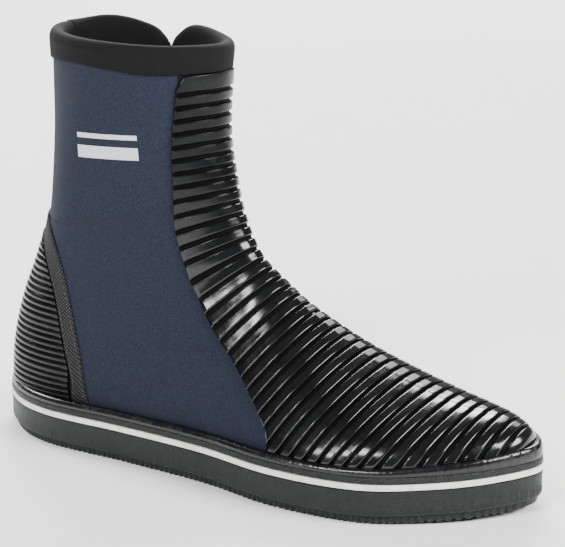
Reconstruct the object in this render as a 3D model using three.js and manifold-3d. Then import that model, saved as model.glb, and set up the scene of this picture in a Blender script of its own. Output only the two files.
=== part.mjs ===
// Right-foot neoprene dinghy boot. Millimetres, +X to the toe, +Y to the inner (medial) side, +Z up.
// The outer skin is one family of nested surfaces, skin(depth): depth 0 is the rib tops, and every
// layer of the upper lies between two depths.
import * as THREE from 'three';
import { mergeVertices } from 'three/addons/utils/BufferGeometryUtils.js';
import Module from 'manifold-3d';

const wasm = await Module();
wasm.setup();
const { Manifold } = wasm;

// ---- driving dimensions -------------------------------------------------------------------------
const GAP = 0.3;                  // clearance between touching pieces
const RUBBER = 1.6;               // thickness of the rubber overlays, rib top to back
const TAPE = 0.9;                 // thickness of sewn tapes
const NEOPRENE = 5;               // thickness of the foam upper
const NEOPRENE_DEPTH = RUBBER + GAP;
const LINING_DEPTH = NEOPRENE_DEPTH + NEOPRENE;
const BASE_Z = 24;                // height where the skin meets the foxing
const SKIRT_Z = 12;               // lowest edge of the upper, tucked inside the foxing
const MIDDLE_Y = 1;               // plane of the rear seam

const VAMP_PITCH = 6.2;           // rib pitch of the vamp along the ridge
const VAMP_FIRST_GROOVE = 11.2;   // ridge distance from the toe to the first groove
const VAMP_GROOVES = 40;
const VAMP_GROOVE_DEPTH = 0.8;
const VAMP_START_ROW = 0.1;
const VAMP_TOP_ROW = 17.15;

const HEEL_PITCH = 3.3;           // rib pitch of the heel counter, measured up the back
const HEEL_BOTTOM_Z = 25;
const HEEL_TOP_Z = 113;
const HEEL_RIB_DEPTH = 0.7;

const RIM_BACK = { x: -111, z: 214 };
const RIM_FRONT = { x: -14, z: 210 };
const COLLAR_HEIGHT_BACK = 17;
const COLLAR_HEIGHT_FRONT = 12.5;
const COLLAR_INSIDE_HEIGHT = 18.5;
const COLLAR_ROOF = 3.9;

const ZIP_TOP = new THREE.Vector3(-69, 41.0, 196);
const ZIP_BOTTOM = new THREE.Vector3(-74.5, 33.0, 78);
const ZIP_PARKED = 12;            // slider centre below the upper end of the zip
const ZIP_SLOT_HALF = 8;
const ZIP_TAPE_WIDTH = 12;
const ZIP_CENTRE_GAP = 0.8;       // half the space between the two coils
const COIL_WIDTH = 1.9;
const COIL_HEIGHT = 1.8;
const COIL_PITCH = 4;

// ---- shape of the skin --------------------------------------------------------------------------
// One row per station from the toe to the top: front profile x and z, spine x and z, lateral and
// medial y at the spine, and y of the ridge. Rows 0 to 10 stand on the foxing, the rest on a
// vertical spine through the shaft.
const ROWS = [
  [147.8, 31.0, 146.9, 24, 1.5, 16.8, 8.5],
  [145.5, 38.5, 141.5, 24, -7.0, 25.3, 9.0],
  [135.0, 43.3, 128.0, 24, -21.0, 36.0, 9.5],
  [120.0, 46.3, 110.0, 24, -35.0, 43.0, 10.0],
  [101.5, 50.6, 85.0, 24, -46.0, 47.5, 9.5],
  [79.6, 57.9, 60.0, 24, -49.0, 48.0, 9.0],
  [58.9, 66.9, 32.0, 24, -46.5, 44.0, 8.0],
  [43.2, 75.8, 8.0, 24, -41.5, 38.0, 7.0],
  [27.8, 85.3, -18.0, 24, -37.0, 32.5, 6.0],
  [16.3, 94.7, -48.0, 24, -34.5, 31.0, 5.0],
  [5.1, 104.7, -89.5, 24, -31.0, 31.5, 4.0],
  [-1.2, 113.6, -88.5, 66, -30.5, 32.7, 3.5],
  [-5.5, 123.4, -88.0, 90, -30.5, 34.2, 3.0],
  [-8.6, 132.2, -87.0, 109.5, -31.8, 35.7, 2.5],
  [-11.5, 145.0, -83.0, 131, -33.8, 36.9, 2.0],
  [-14.7, 160.0, -78.0, 150, -35.7, 38.0, 1.5],
  [-15.5, 176.0, -73.0, 168.5, -37.0, 39.0, 1.0],
  [-14.9, 192.0, -68.5, 187, -38.2, 40.3, 1.0],
  [-14.3, 207.0, -65.0, 203.5, -39.0, 41.0, 1.0],
];
const LAST_ROW = ROWS.length - 1;
const CORNER_ROW = 10;            // the row where the vertical spine begins
const TOP_ROW = 16.9;             // above it the shaft goes straight up under the collar

// Heel and Achilles line: height and x.
const BACK_LINE = [[24, -147.6], [40, -146.8], [52, -144.7], [65, -141], [78, -135.8], [90, -129.9],
  [100, -125], [112, -119.5], [125, -116], [145, -113.2], [165, -111.8], [185, -111.9], [213, -112.4]];

// Edge of the vamp rubber: row and distance round from the ridge (1 is the foxing line).
const VAMP_EDGE = [[5.85, 1], [6.07, 0.88], [6.5, 0.79], [7.9, 0.624], [9, 0.54], [10, 0.455],
  [11, 0.483], [12.5, 0.495], [14.5, 0.465], [16.4, 0.43], [16.9, 0.39], [17.15, 0.31]];

// Front edge of the heel rubber and front edge of its tape: height and x, seen from the side.
const HEEL_EDGE = [[20, -86.5], [52, -94.5], [78, -100], [96, -106.5], [108, -113.5], [114, -121]];
const TAPE_EDGE = [[20, -76.5], [32, -81.5], [50, -84.5], [78, -90], [97, -95], [110, -100.5],
  [118, -108], [123, -118]];

// Outline of the foxing seen from above, anticlockwise from the heel round the outer side.
const SOLE_OUTLINE = [[-152.3, 3.4], [-134.2, -21.1], [-103.5, -34.6], [-54.4, -37.5], [-4.1, -42.3],
  [40.4, -51.5], [85.4, -49.8], [114.7, -35.6], [138.2, -15.8], [152.3, 9.1], [140.3, 32.4],
  [118.4, 45.3], [75.5, 51.5], [30.6, 45.8], [-19.5, 35], [-69.7, 33.9], [-104.5, 35.6],
  [-135.8, 26.1]];
const OUTLINE_POINTS = 48;
const SECTION_STEPS = 12;         // steps across half a section of the skin

const clamp01 = (value) => Math.min(1, Math.max(0, value));
const lerp = (a, b, f) => a + (b - a) * f;
const toeSpring = (x) => 3.2 * clamp01((x - 50) / 98) ** 2;
const rimHeight = (x) => lerp(RIM_BACK.z, RIM_FRONT.z, (x - RIM_BACK.x) / (RIM_FRONT.x - RIM_BACK.x));

// Value at x on a line of [x, value] points, rising x.
function along(points, x) {
  if (x <= points[0][0]) return points[0][1];
  for (let i = 1; i < points.length; i += 1) {
    const [x1, v1] = points[i];
    const [x0, v0] = points[i - 1];
    if (x <= x1) return lerp(v0, v1, (x - x0) / (x1 - x0));
  }
  return points[points.length - 1][1];
}

// Uniform Catmull-Rom through an array of equal-length rows, at a fractional row number.
function catmull(rows, at) {
  const last = rows.length - 1;
  const i = Math.min(Math.floor(at), last - 1);
  const f = at - i;
  const b = rows[i];
  const c = rows[i + 1];
  const a = i > 0 ? rows[i - 1] : b.map((v, n) => 2 * v - c[n]);
  const d = i + 2 <= last ? rows[i + 2] : c.map((v, n) => 2 * v - b[n]);
  return b.map((v, n) => 0.5 * (2 * v + (c[n] - a[n]) * f + (2 * a[n] - 5 * v + 4 * c[n] - d[n]) * f * f
    + (3 * v - a[n] - 3 * c[n] + d[n]) * f ** 3));
}

const DENSE_BACK = Array.from({ length: 121 }, (_, i) => catmull(BACK_LINE, i / 10));

// One section of the skin at a row, moved inwards by depth.
function sectionAt(row, depth) {
  const [fx, fz, sx, sz, lat, med, ridge] = catmull(ROWS, row);
  const before = catmull(ROWS, Math.max(0, row - 0.02));
  const after = catmull(ROWS, Math.min(LAST_ROW, row + 0.02));
  const run = new THREE.Vector2(after[0] - before[0], after[1] - before[1]).normalize();
  const toePull = clamp01(1 - row / 3);
  const middle = (lat + med) / 2;
  const half = Math.max(0.5, (med - lat) / 2 - depth);
  return {
    front: { x: fx - depth * run.y, z: fz + depth * run.x },
    spine: { x: sx - depth * toePull, z: sz },
    middle, half, ridge,
  };
}

// Front part of the skin: round is -1 on the lateral spine, 0 on the ridge, 1 on the medial spine.
function frontSkin(row, round, depth) {
  const { front, spine, middle, half, ridge } = sectionAt(row, depth);
  const s = Math.cos(round * Math.PI / 2);
  const w = Math.sin(round * Math.PI / 2);
  return new THREE.Vector3(lerp(spine.x, front.x, s), lerp(middle, ridge, s * s) + half * w,
    lerp(spine.z, front.z, s));
}

// Back part of the skin: round is -1 on the lateral spine, 0 on the rear seam, 1 on the medial spine.
function backSkin(row, round, depth) {
  const { spine, middle, half } = sectionAt(row, depth);
  const s = Math.cos(round * Math.PI / 2);
  const w = Math.sin(round * Math.PI / 2);
  const heel = along(DENSE_BACK, spine.z) + depth;
  const tilt = 6 * clamp01((spine.z - 130) / 73.5);
  return new THREE.Vector3(lerp(spine.x, heel, s), lerp(middle, MIDDLE_Y, s * s) + half * w,
    spine.z + tilt * s);
}

// Row of the vertical spine at a height.
function rowAtHeight(z) {
  let low = CORNER_ROW;
  let high = LAST_ROW;
  for (let i = 0; i < 30; i += 1) {
    const mid = (low + high) / 2;
    if (catmull(ROWS, mid)[3] < z) low = mid;
    else high = mid;
  }
  return low;
}

// Row at a distance from the toe, measured along the ridge.
function rowAtRidge(distance) {
  const step = 0.01;
  let gone = 0;
  let last = catmull(ROWS, 0);
  for (let row = step; row < LAST_ROW; row += step) {
    const next = catmull(ROWS, row);
    gone += Math.hypot(next[0] - last[0], next[1] - last[1]);
    last = next;
    if (gone >= distance) return row;
  }
  return LAST_ROW;
}

// ---- solids from triangles ----------------------------------------------------------------------
function solidFromTriangles(triangles) {
  const real = triangles.filter(([a, b, c]) => a.distanceTo(b) > 1e-4 && b.distanceTo(c) > 1e-4
    && c.distanceTo(a) > 1e-4);
  const volume = real.reduce((sum, [a, b, c]) => sum + a.dot(new THREE.Vector3().crossVectors(b, c)), 0);
  const turned = volume < 0 ? real.map(([a, b, c]) => [a, c, b]) : real;
  const geometry = new THREE.BufferGeometry().setFromPoints(turned.flat());
  return solidFromGeometry(geometry);
}

function solidFromGeometry(geometry) {
  const bare = geometry.clone();
  bare.deleteAttribute('normal');
  bare.deleteAttribute('uv');
  const welded = mergeVertices(bare, 1e-3);
  return new Manifold(new wasm.Mesh({
    numProp: 3,
    vertProperties: new Float32Array(welded.attributes.position.array),
    triVerts: new Uint32Array(welded.index.array),
  }));
}

function quads(grid, triangles, wrapRows = false, wrapColumns = false) {
  const rows = grid.length;
  const columns = grid[0].length;
  for (let i = 0; i < rows - (wrapRows ? 0 : 1); i += 1) {
    for (let j = 0; j < columns - (wrapColumns ? 0 : 1); j += 1) {
      const a = grid[i][j];
      const b = grid[(i + 1) % rows][j];
      const c = grid[(i + 1) % rows][(j + 1) % columns];
      const d = grid[i][(j + 1) % columns];
      triangles.push([a, b, c], [a, c, d]);
    }
  }
}

function cap(ring, flat, flip, triangles) {
  THREE.ShapeUtils.triangulateShape(ring.map(flat), []).forEach(([a, b, c]) => {
    triangles.push(flip ? [ring[a], ring[c], ring[b]] : [ring[a], ring[b], ring[c]]);
  });
}

// Solid through a list of rings with the same number of points. flat gives the 2-D view of a ring,
// in which it runs anticlockwise.
function loft(rings, flat) {
  const triangles = [];
  quads(rings.map((ring) => [...ring].reverse()), triangles, false, true);
  cap(rings[0], flat, true, triangles);
  cap(rings[rings.length - 1], flat, false, triangles);
  return solidFromTriangles(triangles);
}

const fromAbove = (p) => new THREE.Vector2(p.x, p.y);
const fromSide = (p) => new THREE.Vector2(p.x, p.z);

// Plate between an outer and an inner grid of points.
function plate(outer, inner) {
  const triangles = [];
  quads(outer, triangles);
  quads(inner.map((row) => [...row].reverse()), triangles);
  const edge = (grid) => [
    ...grid[0],
    ...grid.slice(1).map((row) => row[row.length - 1]),
    ...[...grid[grid.length - 1]].reverse().slice(1),
    ...grid.slice(1, -1).map((row) => row[0]).reverse(),
  ];
  quads([edge(inner), edge(outer)], triangles, false, true);
  return solidFromTriangles(triangles);
}

const range = (from, to, steps) => Array.from({ length: steps + 1 }, (_, i) => lerp(from, to, i / steps));
const LOW_ROWS = [0, 0.4, ...range(1, CORNER_ROW, 12)];
const HIGH_ROWS = range(CORNER_ROW, TOP_ROW, 10);
const ROUND = range(-1, 1, SECTION_STEPS);

// The whole boot as one solid body at a depth, from bottom to the height top(x).
function skin(depth, bottom, top) {
  const front = [...LOW_ROWS, ...HIGH_ROWS.slice(1)].map((row) => ROUND.map((r) => frontSkin(row, r, depth)));
  const back = HIGH_ROWS.map((row) => ROUND.map((r) => backSkin(row, r, depth)));
  const triangles = [];
  quads(front, triangles);
  quads(back.map((row) => [...row].reverse()), triangles);
  cap(front[0], (p) => new THREE.Vector2(p.y, p.z), true, triangles);
  const base = [
    ...front.slice(0, LOW_ROWS.length).map((row) => row[0]),
    ...back[0].slice(1, -1),
    ...front.slice(0, LOW_ROWS.length).map((row) => row[SECTION_STEPS]).reverse(),
  ];
  const foot = base.map((p) => new THREE.Vector3(p.x, p.y, bottom + toeSpring(p.x)));
  quads([base, foot], triangles, false, true);
  cap(foot, fromAbove, false, triangles);
  const mouth = topRing(depth);
  const rim = mouth.map((p) => new THREE.Vector3(p.x, p.y, top(p.x)));
  quads([mouth, rim], triangles, false, true);
  cap(rim, fromAbove, true, triangles);
  return solidFromTriangles(triangles);
}

// Ring of points round the top of the shaft at a depth.
function topRing(depth) {
  return [
    ...ROUND.map((r) => frontSkin(TOP_ROW, r, depth)),
    ...ROUND.slice(1, -1).reverse().map((r) => backSkin(TOP_ROW, r, depth)),
  ];
}

const fullTop = () => 240;        // well above the collar
// The upper's foam with its clearance: every overlay and foxing ring is hollowed with it.
const UPPER_CORE = skin(RUBBER, SKIRT_Z - GAP, fullTop);
const layer = (outer, inner) => skin(outer, SKIRT_Z, fullTop).subtract(skin(inner, SKIRT_Z - 5, () => 250));
const tapeLayer = () => layer(RUBBER - TAPE, RUBBER);

// Prism standing on a side-view outline of [x, z] points, from y0 to y1.
function sidePrism(points, y0, y1) {
  const area = points.reduce((sum, [x, z], i) => {
    const [nx, nz] = points[(i + 1) % points.length];
    return sum + x * nz - nx * z;
  }, 0);
  const ordered = area < 0 ? [...points].reverse() : points;
  return loft([y0, y1].map((y) => ordered.map(([x, z]) => new THREE.Vector3(x, y, z))), fromSide);
}

// Outline of a strip along a side-view line, from offset a to offset b across it.
function strip(line, a, b) {
  const sides = line.map(([x, z], i) => {
    const [x0, z0] = line[Math.max(0, i - 1)];
    const [x1, z1] = line[Math.min(line.length - 1, i + 1)];
    const length = Math.hypot(x1 - x0, z1 - z0);
    const nx = (z1 - z0) / length;
    const nz = -(x1 - x0) / length;
    return [[x + nx * a, z + nz * a], [x + nx * b, z + nz * b]];
  });
  return [...sides.map((s) => s[0]), ...sides.map((s) => s[1]).reverse()];
}

const swap = (points) => points.map(([z, x]) => [x, z]);
const seam = (line, y0, y1) => sidePrism(strip(line, -GAP / 2, GAP / 2), y0, y1);

// ---- sole ---------------------------------------------------------------------------------------
const OUTLINE_CURVE = new THREE.CatmullRomCurve3(
  SOLE_OUTLINE.map(([x, y]) => new THREE.Vector3(x, y, 0)), true, 'centripetal');
const OUTLINE = range(0, 1, OUTLINE_POINTS).slice(0, -1).map((f) => ({
  point: OUTLINE_CURVE.getPointAt(f),
  inward: new THREE.Vector3(0, 0, 1).cross(OUTLINE_CURVE.getTangentAt(f)),
}));

// Solid with the sole's outline: levels are { z, inset }, z may be a function of x.
function soleStack(levels) {
  return loft(levels.map(({ z, inset }) => OUTLINE.map(({ point, inward }) => {
    const p = point.clone().addScaledVector(inward, inset);
    p.z = (typeof z === 'function' ? z(p.x) : z) + toeSpring(p.x);
    return p;
  })), fromAbove);
}

const SOLE_TOP = 4;
const NOTCH_PITCH = 12;           // spacing of the tread channels cut in from both edges
const STRIPE_BOTTOM = 16.6;
const STRIPE_TOP = 19.6;
const foxingTop = (x) => 26.4 + 3.4 * clamp01((x - 100) / 50);

function outsole() {
  const body = soleStack([{ z: 0, inset: 3.2 }, { z: 1.2, inset: 2.2 }, { z: SOLE_TOP, inset: 2 }]);
  const cuts = [];
  const halfSpine = 9;
  for (let x = -140; x < 146; x += NOTCH_PITCH) {
    for (const side of [-1, 1]) {
      const block = new THREE.BoxGeometry(1.2, 60, 4);
      block.translate(x, MIDDLE_Y + side * (halfSpine + 30) + side * 4, toeSpring(x) - 0.8);
      cuts.push(solidFromGeometry(block));
    }
  }
  return body.subtract(Manifold.union(cuts));
}

const MIDSOLE_TOP = SKIRT_Z - 0.6;  // clear of the upper where the toe springs up
const midsole = () => soleStack([{ z: SOLE_TOP + GAP, inset: 4.3 }, { z: MIDSOLE_TOP, inset: 4.3 }]);

// A ring of the foxing, hollowed to fit round the upper.
const foxingRing = (levels, pockets) => soleStack(levels).subtract(pockets);

// Everything that the foxing leaves room for: filler, upper and the grown overlays.
function foxingPockets(overlays) {
  const core = soleStack([{ z: 0, inset: 4 }, { z: SKIRT_Z - GAP / 2, inset: 4 }]);
  return Manifold.union([core, UPPER_CORE, ...overlays]);
}

function insoleBoard() {
  const slab = soleStack([{ z: SKIRT_Z, inset: 0 }, { z: SKIRT_Z + 2, inset: 0 }]);
  return skin(LINING_DEPTH + GAP, 5, fullTop).intersect(slab);
}

function footbed() {
  const bottom = SKIRT_Z + 2 + GAP;
  const slab = soleStack([{ z: bottom, inset: 0 }, { z: bottom + 5, inset: 0 }]);
  return skin(LINING_DEPTH + 0.5, 5, fullTop).intersect(slab);
}

// ---- rubber overlays ----------------------------------------------------------------------------
const vampEdge = (row) => along(VAMP_EDGE, row);

// Ribbed rubber from the toe to just under the collar. grow makes the pocket that the foxing leaves.
function vampPlate(grow) {
  const rows = [VAMP_START_ROW, 0.5];
  const deep = [0, 0];
  for (let i = 0; i < VAMP_GROOVES; i += 1) {
    const groove = VAMP_FIRST_GROOVE + i * VAMP_PITCH;
    rows.push(rowAtRidge(groove), rowAtRidge(groove + VAMP_PITCH / 2));
    deep.push(VAMP_GROOVE_DEPTH, 0);
  }
  rows.push(VAMP_TOP_ROW);
  deep.push(0);
  const columns = range(-1, 1, 12);
  const grid = (depthOf) => {
    const points = rows.map((row, i) => columns.map((c) => (
      frontSkin(row, c * Math.min(1, vampEdge(row) + grow / 40), depthOf(i)))));
    const toeFace = points[0].map((p) => new THREE.Vector3(p.x + grow, p.y, BASE_Z - grow));
    return [toeFace, ...points];
  };
  const outer = grid((i) => (grow > 0 ? -grow : deep[i]));
  const inner = grid(() => RUBBER + 2);
  return plate(outer, inner);
}

// Ribbed rubber heel counter.
function heelPlate(grow) {
  const steps = Math.round((HEEL_TOP_Z - HEEL_BOTTOM_Z) / HEEL_PITCH) * 2;
  const columns = range(-1, 1, 10);
  const rows = range(HEEL_BOTTOM_Z, HEEL_TOP_Z, steps);
  const grid = (depthOf) => rows.map((z, i) => {
    const row = rowAtHeight(z);
    const { spine } = sectionAt(row, 0);
    const heel = along(DENSE_BACK, z);
    const edge = Math.max(0, Math.min(0.99, (along(HEEL_EDGE, z) - spine.x) / (heel - spine.x)));
    const round = Math.acos(edge) / (Math.PI / 2);
    return columns.map((c) => backSkin(row, c * Math.min(1, round + grow / 40), depthOf(i)));
  });
  const outer = grid((i) => (grow > 0 ? -grow : (i % 2) * HEEL_RIB_DEPTH));
  const inner = grid(() => RUBBER + 2);
  return plate(outer, inner);
}

// ---- foam panels --------------------------------------------------------------------------------
const zipDown = new THREE.Vector3().subVectors(ZIP_BOTTOM, ZIP_TOP);
const ZIP_LENGTH = zipDown.length();
zipDown.normalize();
const zipPoint = (down) => ZIP_TOP.clone().addScaledVector(zipDown, down);
const zipLine = (from, to) => [from, to].map((down) => {
  const p = zipPoint(down);
  return [p.x, p.z];
});
const ZIP_SLOT_END = ZIP_LENGTH + 6;

function vampSeam(side) {
  const rows = range(5.9, TOP_ROW, 14);
  const line = rows.map((row) => {
    const p = frontSkin(row, side * Math.min(1, vampEdge(Math.min(row, 16)) - 0.02), 4);
    return [p.x, p.z];
  });
  const low = [line[0][0] + 4, 0];
  const high = [line[line.length - 1][0], 245];
  return seam([low, ...line, high], side < 0 ? -70 : MIDDLE_Y, side < 0 ? MIDDLE_Y : 70);
}

const heelSeamLine = () => range(6, 118, 12).map((z) => [
  (along(HEEL_EDGE, z) + along(TAPE_EDGE, z)) / 2, z]);

function foamPanels() {
  const shell = skin(NEOPRENE_DEPTH, SKIRT_Z, (x) => rimHeight(x) - COLLAR_ROOF - GAP)
    .subtract(skin(LINING_DEPTH, SKIRT_Z - 5, () => 250));
  const heelLine = heelSeamLine();
  const behind = [-160, heelLine[heelLine.length - 1][1] + 0.5];
  const cuts = [
    vampSeam(-1),
    vampSeam(1),
    seam([...heelLine, behind], -70, 70),
    sidePrism([behind, ...heelLine.slice(-4).reverse(), [-95, 245], [-160, 245]], MIDDLE_Y - GAP / 2,
      MIDDLE_Y + GAP / 2),
    sidePrism(strip(zipLine(-60, ZIP_SLOT_END), -ZIP_SLOT_HALF, ZIP_SLOT_HALF), 12, 70),
    seam([...zipLine(ZIP_SLOT_END - 2, ZIP_SLOT_END), [ZIP_BOTTOM.x - 1, 0]], 12, 70),
  ];
  return shell.subtract(Manifold.union(cuts)).decompose();
}

const centreOf = (solid) => {
  const { min, max } = solid.boundingBox();
  return new THREE.Vector3((min[0] + max[0]) / 2, (min[1] + max[1]) / 2, (min[2] + max[2]) / 2);
};

function sortFoam(pieces) {
  const large = pieces.filter((piece) => piece.volume() > 500);
  const named = {};
  large.forEach((piece) => {
    const c = centreOf(piece);
    const { max } = piece.boundingBox();
    if (max[0] > 100) named.front_foam_panel = piece;
    else if (c.z < 80 && max[0] < -80) named.heel_foam_panel = piece;
    else if (c.y < 0) named.lateral_quarter = piece;
    else if (c.x > -66) named.medial_front_quarter = piece;
    else named.medial_rear_quarter = piece;
  });
  return named;
}

// ---- collar and tapes ---------------------------------------------------------------------------
function collar() {
  const reference = topRing(0);
  const profile = [
    { t: 0, low: 1 }, { t: -0.7, low: 0.8 }, { t: -0.4, z: -3 }, { t: 1.4, z: -0.7 }, { t: 4, z: 0 },
    { t: 6.8, z: -0.8 }, { t: 8.7, z: -3 }, { t: 8.7, z: -COLLAR_INSIDE_HEIGHT },
    { t: LINING_DEPTH + GAP, z: -COLLAR_INSIDE_HEIGHT }, { t: LINING_DEPTH + GAP, z: -COLLAR_ROOF },
    { t: RUBBER, z: -COLLAR_ROOF }, { t: RUBBER, low: 1 },
  ];
  const rings = profile.map(({ t, z, low }) => topRing(t).map((p, i) => {
    const x = reference[i].x;
    const f = clamp01((x - RIM_BACK.x) / (RIM_FRONT.x - RIM_BACK.x));
    const fall = low === undefined ? z : -low * lerp(COLLAR_HEIGHT_BACK, COLLAR_HEIGHT_FRONT, f);
    return new THREE.Vector3(p.x, p.y, rimHeight(x) + fall);
  }));
  const triangles = [];
  quads(rings, triangles, true, true);
  const notchHalf = { low: ZIP_SLOT_HALF, high: 6 };
  const at = zipPoint(-5);
  const notch = sidePrism([[at.x - notchHalf.low, 180], [at.x + notchHalf.low, 180],
    [at.x + 2 + notchHalf.high, 230], [at.x + 2 - notchHalf.high, 230]], 12, 70);
  return solidFromTriangles(triangles).subtract(notch);
}

function heelTape(side) {
  const gapped = swap(HEEL_EDGE).map(([x, z]) => [x + 0.5, z + 0.2]);
  const outline = [...gapped, [-130, 116], [-130, 123], ...swap(TAPE_EDGE).reverse()];
  const y = side < 0 ? [-70, MIDDLE_Y - GAP / 2] : [MIDDLE_Y + GAP / 2, 70];
  return tapeLayer().intersect(sidePrism(outline, ...y)).subtract(heelPlate(GAP));
}

// Room in the foxing for the lower ends of both heel tapes.
function heelTapePocket() {
  const reach = [[-100, 10], [-72, 10], [-72, 40], [-100, 40]];
  return skin(RUBBER - TAPE - GAP, SKIRT_Z, fullTop).intersect(sidePrism(reach, -70, 70));
}

function rearSeamTape() {
  const half = 4;
  const block = sidePrism([[-140, 124], [-95, 124], [-95, 193], [-140, 195]],
    MIDDLE_Y - half, MIDDLE_Y + half);
  return tapeLayer().intersect(block);
}

// ---- zip ----------------------------------------------------------------------------------------
const side = (from, to, a, b) => sidePrism(strip(zipLine(from, to), a, b), 12, 70);

const zipTape = (sign) => tapeLayer().intersect(
  side(1.5, ZIP_LENGTH + 3, sign * ZIP_CENTRE_GAP, sign * ZIP_TAPE_WIDTH));

function zipGusset() {
  const half = 18;
  return layer(LINING_DEPTH + GAP, LINING_DEPTH + 1.8).intersect(side(9, ZIP_LENGTH + 12, -half, half));
}

// The zip's own frame: X to the heel, Y up along the zip, Z out of the boot, origin at the parked slider.
const zipFrame = new THREE.Group();
const zipUp = zipDown.clone().negate();
const zipAcross = new THREE.Vector3(-1, 0, 0).addScaledVector(zipUp, zipUp.x).normalize();
zipFrame.quaternion.setFromRotationMatrix(
  new THREE.Matrix4().makeBasis(zipAcross, zipUp, new THREE.Vector3().crossVectors(zipAcross, zipUp)));
zipFrame.position.copy(zipPoint(ZIP_PARKED));

function block(x0, x1, y0, y1, z0, z1) {
  const geometry = new THREE.BoxGeometry(x1 - x0, y1 - y0, z1 - z0);
  geometry.translate((x0 + x1) / 2, (y0 + y1) / 2, (z0 + z1) / 2);
  return solidFromGeometry(geometry);
}

const COIL_TOP = 7.2;
const COIL_BOTTOM = -(ZIP_LENGTH - ZIP_PARKED) + 2;

// One row of teeth: a cord with a tooth every pitch on the side that faces the other row.
function zipTeeth(sign) {
  const cord = block(ZIP_CENTRE_GAP + 0.9, ZIP_CENTRE_GAP + COIL_WIDTH, COIL_BOTTOM, COIL_TOP, 0, COIL_HEIGHT);
  const teeth = [];
  for (let y = COIL_BOTTOM; y + COIL_PITCH / 2 <= COIL_TOP; y += COIL_PITCH) {
    teeth.push(block(ZIP_CENTRE_GAP, ZIP_CENTRE_GAP + 1, y, y + COIL_PITCH / 2, 0.3, COIL_HEIGHT - 0.3));
  }
  const row = Manifold.union([cord, ...teeth]);
  return sign > 0 ? row : row.mirror([1, 0, 0]);
}

const SLIDER_HALF_LENGTH = 6.5;
const BAIL_Z = 5.4;

function zipSlider() {
  const half = SLIDER_HALF_LENGTH;
  const roof = COIL_HEIGHT + 0.4;
  const arch = [block(-1, 1, -4.2, -2.8, roof, BAIL_Z + 0.6), block(-1, 1, 2.8, 4.2, roof, BAIL_Z + 0.6),
    block(-1, 1, -4.2, 4.2, BAIL_Z + 0.5, BAIL_Z + 1.6)];
  return Manifold.union([
    block(-5.6, 5.6, -half, half, roof, roof + 1.2),
    block(-5.6, -3.2, -half, half, 0.3, roof + 0.1),
    block(3.2, 5.6, -half, half, 0.3, roof + 0.1),
    block(-0.4, 0.4, 3.4, half - 0.4, -3, roof + 0.1),
    block(-5, 5, -half, half, -3.9, -2.9),
    ...arch,
  ]);
}

function zipPull() {
  const bar = new THREE.CylinderGeometry(0.8, 0.8, 5.4, 12);
  bar.rotateZ(Math.PI / 2);
  bar.translate(0, 0, BAIL_Z - 0.6);
  const z0 = BAIL_Z - 1.4;
  const z1 = BAIL_Z + 0.2;
  return Manifold.union([
    solidFromGeometry(bar),
    block(-3.4, -1.8, -7.5, 0.8, z0, z1),
    block(1.8, 3.4, -7.5, 0.8, z0, z1),
    block(-3.4, 3.4, -27, -6, z0, z1),
  ]);
}

const zipTopStop = (sign) => {
  const stop = block(ZIP_CENTRE_GAP, 3.6, COIL_TOP + GAP, COIL_TOP + 2.3, -0.2, COIL_HEIGHT);
  return sign > 0 ? stop : stop.mirror([1, 0, 0]);
};
const zipBottomStop = () => block(-3.6, 3.6, COIL_BOTTOM - 3.3, COIL_BOTTOM - GAP, -0.2, COIL_HEIGHT + 0.2);

// ---- assembly -----------------------------------------------------------------------------------
const BLACK_RUBBER = { color: 0x121314, roughness: 0.25, metalness: 0 };
const SOLE_RUBBER = { color: 0x1d2422, roughness: 0.55, metalness: 0 };
const WHITE_RUBBER = { color: 0xe9e9e4, roughness: 0.5, metalness: 0 };
const NAVY_FOAM = { color: 0x2b3650, roughness: 0.9, metalness: 0 };
const BLACK_FOAM = { color: 0x17181a, roughness: 0.9, metalness: 0 };
const BLACK_TAPE = { color: 0x1a1b1d, roughness: 0.75, metalness: 0 };
const EVA = { color: 0x3a3d3f, roughness: 0.9, metalness: 0 };
const BLACK_PLASTIC = { color: 0x101112, roughness: 0.4, metalness: 0 };

function meshOf(solid, name, look) {
  const { vertProperties, triVerts } = solid.getMesh();
  const geometry = new THREE.BufferGeometry();
  geometry.setAttribute('position', new THREE.BufferAttribute(new Float32Array(vertProperties), 3));
  geometry.setIndex(new THREE.BufferAttribute(new Uint32Array(triVerts), 1));
  geometry.computeVertexNormals();
  const mesh = new THREE.Mesh(geometry, new THREE.MeshStandardMaterial(look));
  mesh.name = name;
  return mesh;
}

// The main body of a cut solid, without the slivers that a cut can leave.
const mainBody = (solid) => solid.decompose().sort((a, b) => b.volume() - a.volume())[0];

const boot = new THREE.Group();
const add = (solid, name, look, parent = boot) => parent.add(meshOf(mainBody(solid), name, look));

const pockets = foxingPockets([vampPlate(GAP), heelPlate(GAP), heelTapePocket()]);
add(outsole(), 'outsole', SOLE_RUBBER);
add(midsole(), 'midsole_filler', EVA);
add(foxingRing([{ z: SOLE_TOP + GAP, inset: 1 }, { z: 7, inset: 0.2 }, { z: 11, inset: 1 },
  { z: STRIPE_BOTTOM - GAP, inset: 0.2 }], pockets), 'foxing_sidewall', SOLE_RUBBER);
add(foxingRing([{ z: STRIPE_BOTTOM, inset: 0 }, { z: STRIPE_TOP, inset: 0 }], pockets),
  'foxing_stripe', WHITE_RUBBER);
add(foxingRing([{ z: STRIPE_TOP + GAP, inset: 0.3 }, { z: 23, inset: 0.5 }, { z: 23.3, inset: 1.4 },
  { z: foxingTop, inset: 2.8 }], pockets), 'foxing_top_band', BLACK_RUBBER);
add(insoleBoard(), 'insole_board', EVA);
add(footbed(), 'footbed', BLACK_FOAM);

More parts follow.
